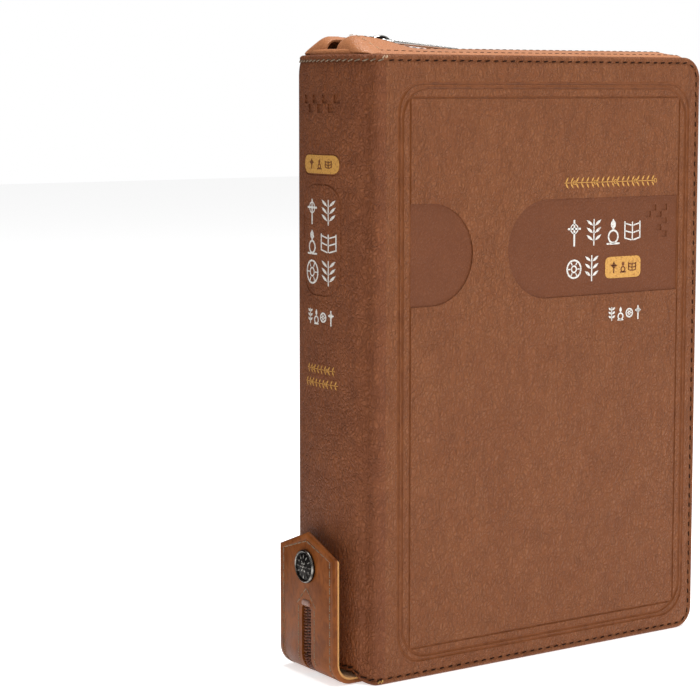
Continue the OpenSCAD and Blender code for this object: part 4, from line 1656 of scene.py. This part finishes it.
class BIBLE_OT_snap(bpy.types.Operator):
    """Cap of the snap fastener, domed, with a bright rim and a ring of raised petals"""
    bl_idname = "bible.snap"
    bl_label = "Snap cap"

    def execute(self, context):
        low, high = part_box("snap_cap")
        z = (low.z + high.z) / 2 / MM
        r = (high.z - low.z) / 2 / MM
        x = 0.1 - TAB_OUT
        cap = lathe([(0.001, 0.0), (r - 0.5, 0.0), (r, 0.35), (r, 0.8), (r - 0.25, 1.15), (r - 0.7, 1.25),
                     (r - 1.05, 1.05), (r - 1.3, 0.95), (r * 0.5, 1.42), (0.001, 1.55)], 48)
        outwards_x(cap, x, 0, z)
        finish(cap, "snap_cap_dome", "snap_tab", MATERIALS["sunk"], 30, ("snap_cap",))
        parts = []
        count = 12
        for i in range(count):
            a = 2 * math.pi * i / count
            bar = petal(0.55, 1.9, 0.42)
            bar.data.transform(Matrix.Rotation(a, 4, "Z") @ Matrix.Translation((r * 0.6 * MM, 0, 1.22 * MM)))
            parts.append(bar)
        for i in range(6):
            a = 2 * math.pi * (i + 0.5) / 6
            leaf = petal(0.8, 1.7, 0.5)
            leaf.data.transform(Matrix.Rotation(a, 4, "Z") @ Matrix.Translation((r * 0.24 * MM, 0, 1.36 * MM)))
            parts.append(leaf)
        rim = lathe([(r - 0.95, 1.0), (r - 0.95, 1.35), (r - 0.55, 1.6), (r - 0.15, 1.35), (r, 0.9),
                     (r - 0.1, 0.4)], 48)
        parts.append(rim)
        knob = lathe([(0.001, 1.9), (0.45, 1.82), (0.62, 1.5), (0.62, 1.2)], 16)
        parts.append(knob)
        relief = joined("snap_cap_relief", parts)
        outwards_x(relief, x, 0, z)
        finish(relief, "snap_cap_relief", "snap_tab", MATERIALS["antique"], 40)
        return {"FINISHED"}


def petal(wide, long, high):
    """A small raised petal, lying along x."""
    begin()
    bpy.ops.mesh.primitive_uv_sphere_add(segments=12, ring_count=8, radius=MM / 2, location=(0, 0, 0))
    ob = bpy.context.object
    whole(ob)
    bpy.ops.transform.resize(value=(long, wide, high * 2))
    begin()
    return ob


class BIBLE_OT_seams(bpy.types.Operator):
    """Stitches round the covers and at both ends of the spine; the thread ends at head and tail come with the head
    folds
    """
    bl_idname = "bible.seams"
    bl_label = "Cover and spine stitches"

    def execute(self, context):
        dark = MATERIALS["dark_thread"]
        s = sewing()
        y = SEAM_DEEP - HALF + 0.2
        lo, hi, far = SEAM_IN, HEIGHT - SEAM_IN, WIDTH - SEAM_IN
        r = CORNER - SEAM_IN
        for side, sign in (("front", 1), ("back", -1)):
            line = [(FACE_EDGE + 0.8 + (far - r - FACE_EDGE - 0.8) * i / 8, hi) for i in range(8)]
            line += arc(far - r, hi - r, r, 90, 0, 10) + arc(far - r, lo + r, r, 0, -90, 10)
            line += [(FACE_EDGE + 0.8, lo)]
            pts = [at(x, sign * y, z) for x, z in line]
            out = Vector((0, -sign, 0))
            seam(side + "_cover_seam", pts, lambda p, o=out: o, s.cover_pitch, s.cover_length, s.thick, dark,
                 side + "_cover", 0.14)
        pitch = s.spine_pitch
        for place, z, key in (("head", hi, "grey_thread"), ("tail", lo, "dark_thread")):
            for part, u0, u1 in (("front_joint", 0.6, JOINT_LONG), ("spine", JOINT_LONG, PATH_LONG - JOINT_LONG),
                                 ("back_joint", PATH_LONG - JOINT_LONG, PATH_LONG - 0.6)):
                pts, outs = [], []
                for i in range(61):
                    p, normal = on_path(u0 + (u1 - u0) * i / 60)
                    q = p - normal * (SEAM_DEEP - 0.1)
                    pts.append(at(q.x, q.y, z + tail_lift(p.y, z)))
                    outs.append(Vector((normal.x, normal.y, 0)))
                out = nearest(pts, outs)
                places = [turned(p, d, out(p)) @ Matrix.Rotation(0.3, 4, "Z") for p, d in spaced(pts, pitch * MM)]
                name = f"{part}_{place}_seam"
                ob = copies(name, thread(pitch * 0.74, s.thick), places)
                if part == "spine":
                    finish(ob, name, BOOK, MATERIALS[key])
                else:
                    sign = -1 if part == "front_joint" else 1
                    finish(ob, name, None, MATERIALS[key])
                    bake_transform(ob)
        return {"FINISHED"}


class BIBLE_OT_foil(bpy.types.Operator):
    """Generic ornament stamped in gold and silver foil on the front and the spine"""
    bl_idname = "bible.foil"
    bl_label = "Foil ornament"

    def execute(self, context):
        lift = 0.04

        def front(x, z):
            return at(x, -HALF - lift, z)

        def row(kinds, x0, x1, z0, z1, t):
            parts, n = [], len(kinds)
            gap = (x1 - x0) / n
            for i, kind in enumerate(kinds):
                w = min(gap * 0.84, z1 - z0)
                parts += shifted(motif(kind, w, z1 - z0, t), x0 + gap * (i + 0.5), (z0 + z1) / 2)
            return parts

        def vine(x0, x1, z, h, t, n):
            parts = [flat_bar((x0 + x1) / 2, z, x1 - x0, t * 0.55)]
            step = (x1 - x0) / n
            for i in range(n):
                x = x0 + step * (i + 0.5)
                for up in (-1, 1):
                    parts.append(flat_leaf(x, z + up * h * 0.25, h * 0.56, t * 1.35, up * 58))
                if i % 4 == 1:
                    parts.append(flat_ring(x + step / 2, z, h * 0.2, t * 0.6, sides=16))
            return parts

        silver, gold = MATERIALS["silver"], MATERIALS["gold"]
        four = ("cross", "sprig", "lamp", "book")
        sunk = -HALF + PRESSED - lift

        def in_pill(x, z):
            return at(x, sunk, z)

        for name, parts, place, material in (
            ("front_foil_vine", vine(91.9, 140.2, 189.9, 4.6, 0.5, 18), front, gold),
            ("front_foil_emblems", row(four, 92.5, 133.6, 164.4, 175.1, 0.72), in_pill, silver),
            ("front_foil_pair", row(("wheel", "sprig"), 93.0, 111.6, 150.0, 160.6, 0.72), in_pill, silver),
            ("front_foil_small_row", row(("sprig", "lamp", "wheel", "cross"), 115.2, 134.1, 133.2, 139.0, 0.55), front,
             silver),
            ("front_foil_plaque", [flat_bar(123.6, 155.05, 19.0, 8.7, 0, 2.1)], in_pill, gold),
        ):
            ob = laid(name, parts, place)
            outward(ob)
            finish(ob, name, "front_cover", material)
        marks = laid("front_plaque_marks", row(("cross", "lamp", "book"), 116.2, 131.0, 152.7, 157.4, 0.5),
                     lambda x, z: at(x, sunk - 0.09, z))
        finish(outward(marks), "front_plaque_marks", "front_cover", MATERIALS["pressed"])

        def round_spine(out):
            def place(x, z):
                a = math.asin(-x / ARC)
                return at(ARC_X - (ARC + out) * math.cos(a), (ARC + out) * math.sin(a), z)
            return place

        rows = []
        for i, pair in enumerate((("cross", "sprig"), ("lamp", "book"), ("wheel", "sprig"))):
            top = 185.2 - 11.6 * i
            rows += row(pair, -11.2, 11.2, top - 9.8, top, 0.7)
        for name, parts, place, material, fine in (
            ("spine_foil_emblems", rows, round_spine(lift), silver, 9),
            ("spine_foil_small_row", row(("sprig", "lamp", "wheel", "cross"), -9.5, 9.5, 137.0, 143.0, 0.55),
             round_spine(lift), silver, 8),
            ("spine_foil_vines", vine(-9.5, 9.5, 119.8, 3.6, 0.42, 8) + vine(-11, 11, 114.4, 3.6, 0.42, 9),
             round_spine(lift), gold, 9),
            ("spine_foil_plaque", [flat_bar(0, 198.5, 23.6, 7.0, 0, 3.3)], round_spine(lift), gold, 10),
        ):
            ob = laid(name, parts, place, fine=fine)
            finish(outward(ob), name, BOOK, material)
        marks = laid("spine_plaque_marks", row(("cross", "lamp", "book"), -8.6, 8.6, 196.6, 200.5, 0.45),
                     round_spine(lift + 0.09), fine=8)
        finish(outward(marks), "spine_plaque_marks", BOOK, MATERIALS["pressed"])
        return {"FINISHED"}


class BIBLE_OT_inside(bpy.types.Operator):
    """Finishes of the pages, boards, linings, tapes and the other pieces that keep their shape"""
    bl_idname = "bible.inside"
    bl_label = "Pages and linings"

    def execute(self, context):
        for node, key in KEPT.items():
            ob = frame["nodes"][node]
            ob.data.materials.clear()
            ob.data.materials.append(MATERIALS[key])
        return {"FINISHED"}


OPERATORS = (
    BIBLE_OT_stage, BIBLE_OT_covers, BIBLE_OT_spine, BIBLE_OT_gussets, BIBLE_OT_zip, BIBLE_OT_slider,
    BIBLE_OT_head, BIBLE_OT_tab, BIBLE_OT_snap, BIBLE_OT_seams, BIBLE_OT_foil, BIBLE_OT_inside,
)


class BIBLE_PT_panel(bpy.types.Panel):
    """Lists the pieces of the book and what can be changed"""
    bl_idname = "BIBLE_PT_panel"
    bl_label = "Zip-around Bible"
    bl_space_type = "VIEW_3D"
    bl_region_type = "UI"
    bl_category = "Bible"

    def draw(self, context):
        for group in (getattr(context.scene, name) for name in GROUPS):
            column = self.layout.column()
            for key in group.bl_rna.properties.keys():
                if key not in ("rna_type", "name"):
                    column.prop(group, key)
        for op in OPERATORS:
            self.layout.operator(op.bl_idname)


GROUPS = {"book_look": BookLook, "book_sewing": BookStitching, "book_studio": BookStudio}
CLASSES = (*GROUPS.values(), *OPERATORS, BIBLE_PT_panel)


def register():
    for c in CLASSES:
        bpy.utils.register_class(c)
    for name, group in GROUPS.items():
        setattr(bpy.types.Scene, name, PointerProperty(type=group))


def unregister():
    for name in GROUPS:
        delattr(bpy.types.Scene, name)
    for c in reversed(CLASSES):
        bpy.utils.unregister_class(c)


def main():
    register()
    make_materials(look())
    for op in OPERATORS:
        group, name = op.bl_idname.split(".")
        if getattr(getattr(bpy.ops, group), name)() != {"FINISHED"}:
            raise RuntimeError(op.bl_label + " was not finished")


if __name__ == "__main__":
    main()
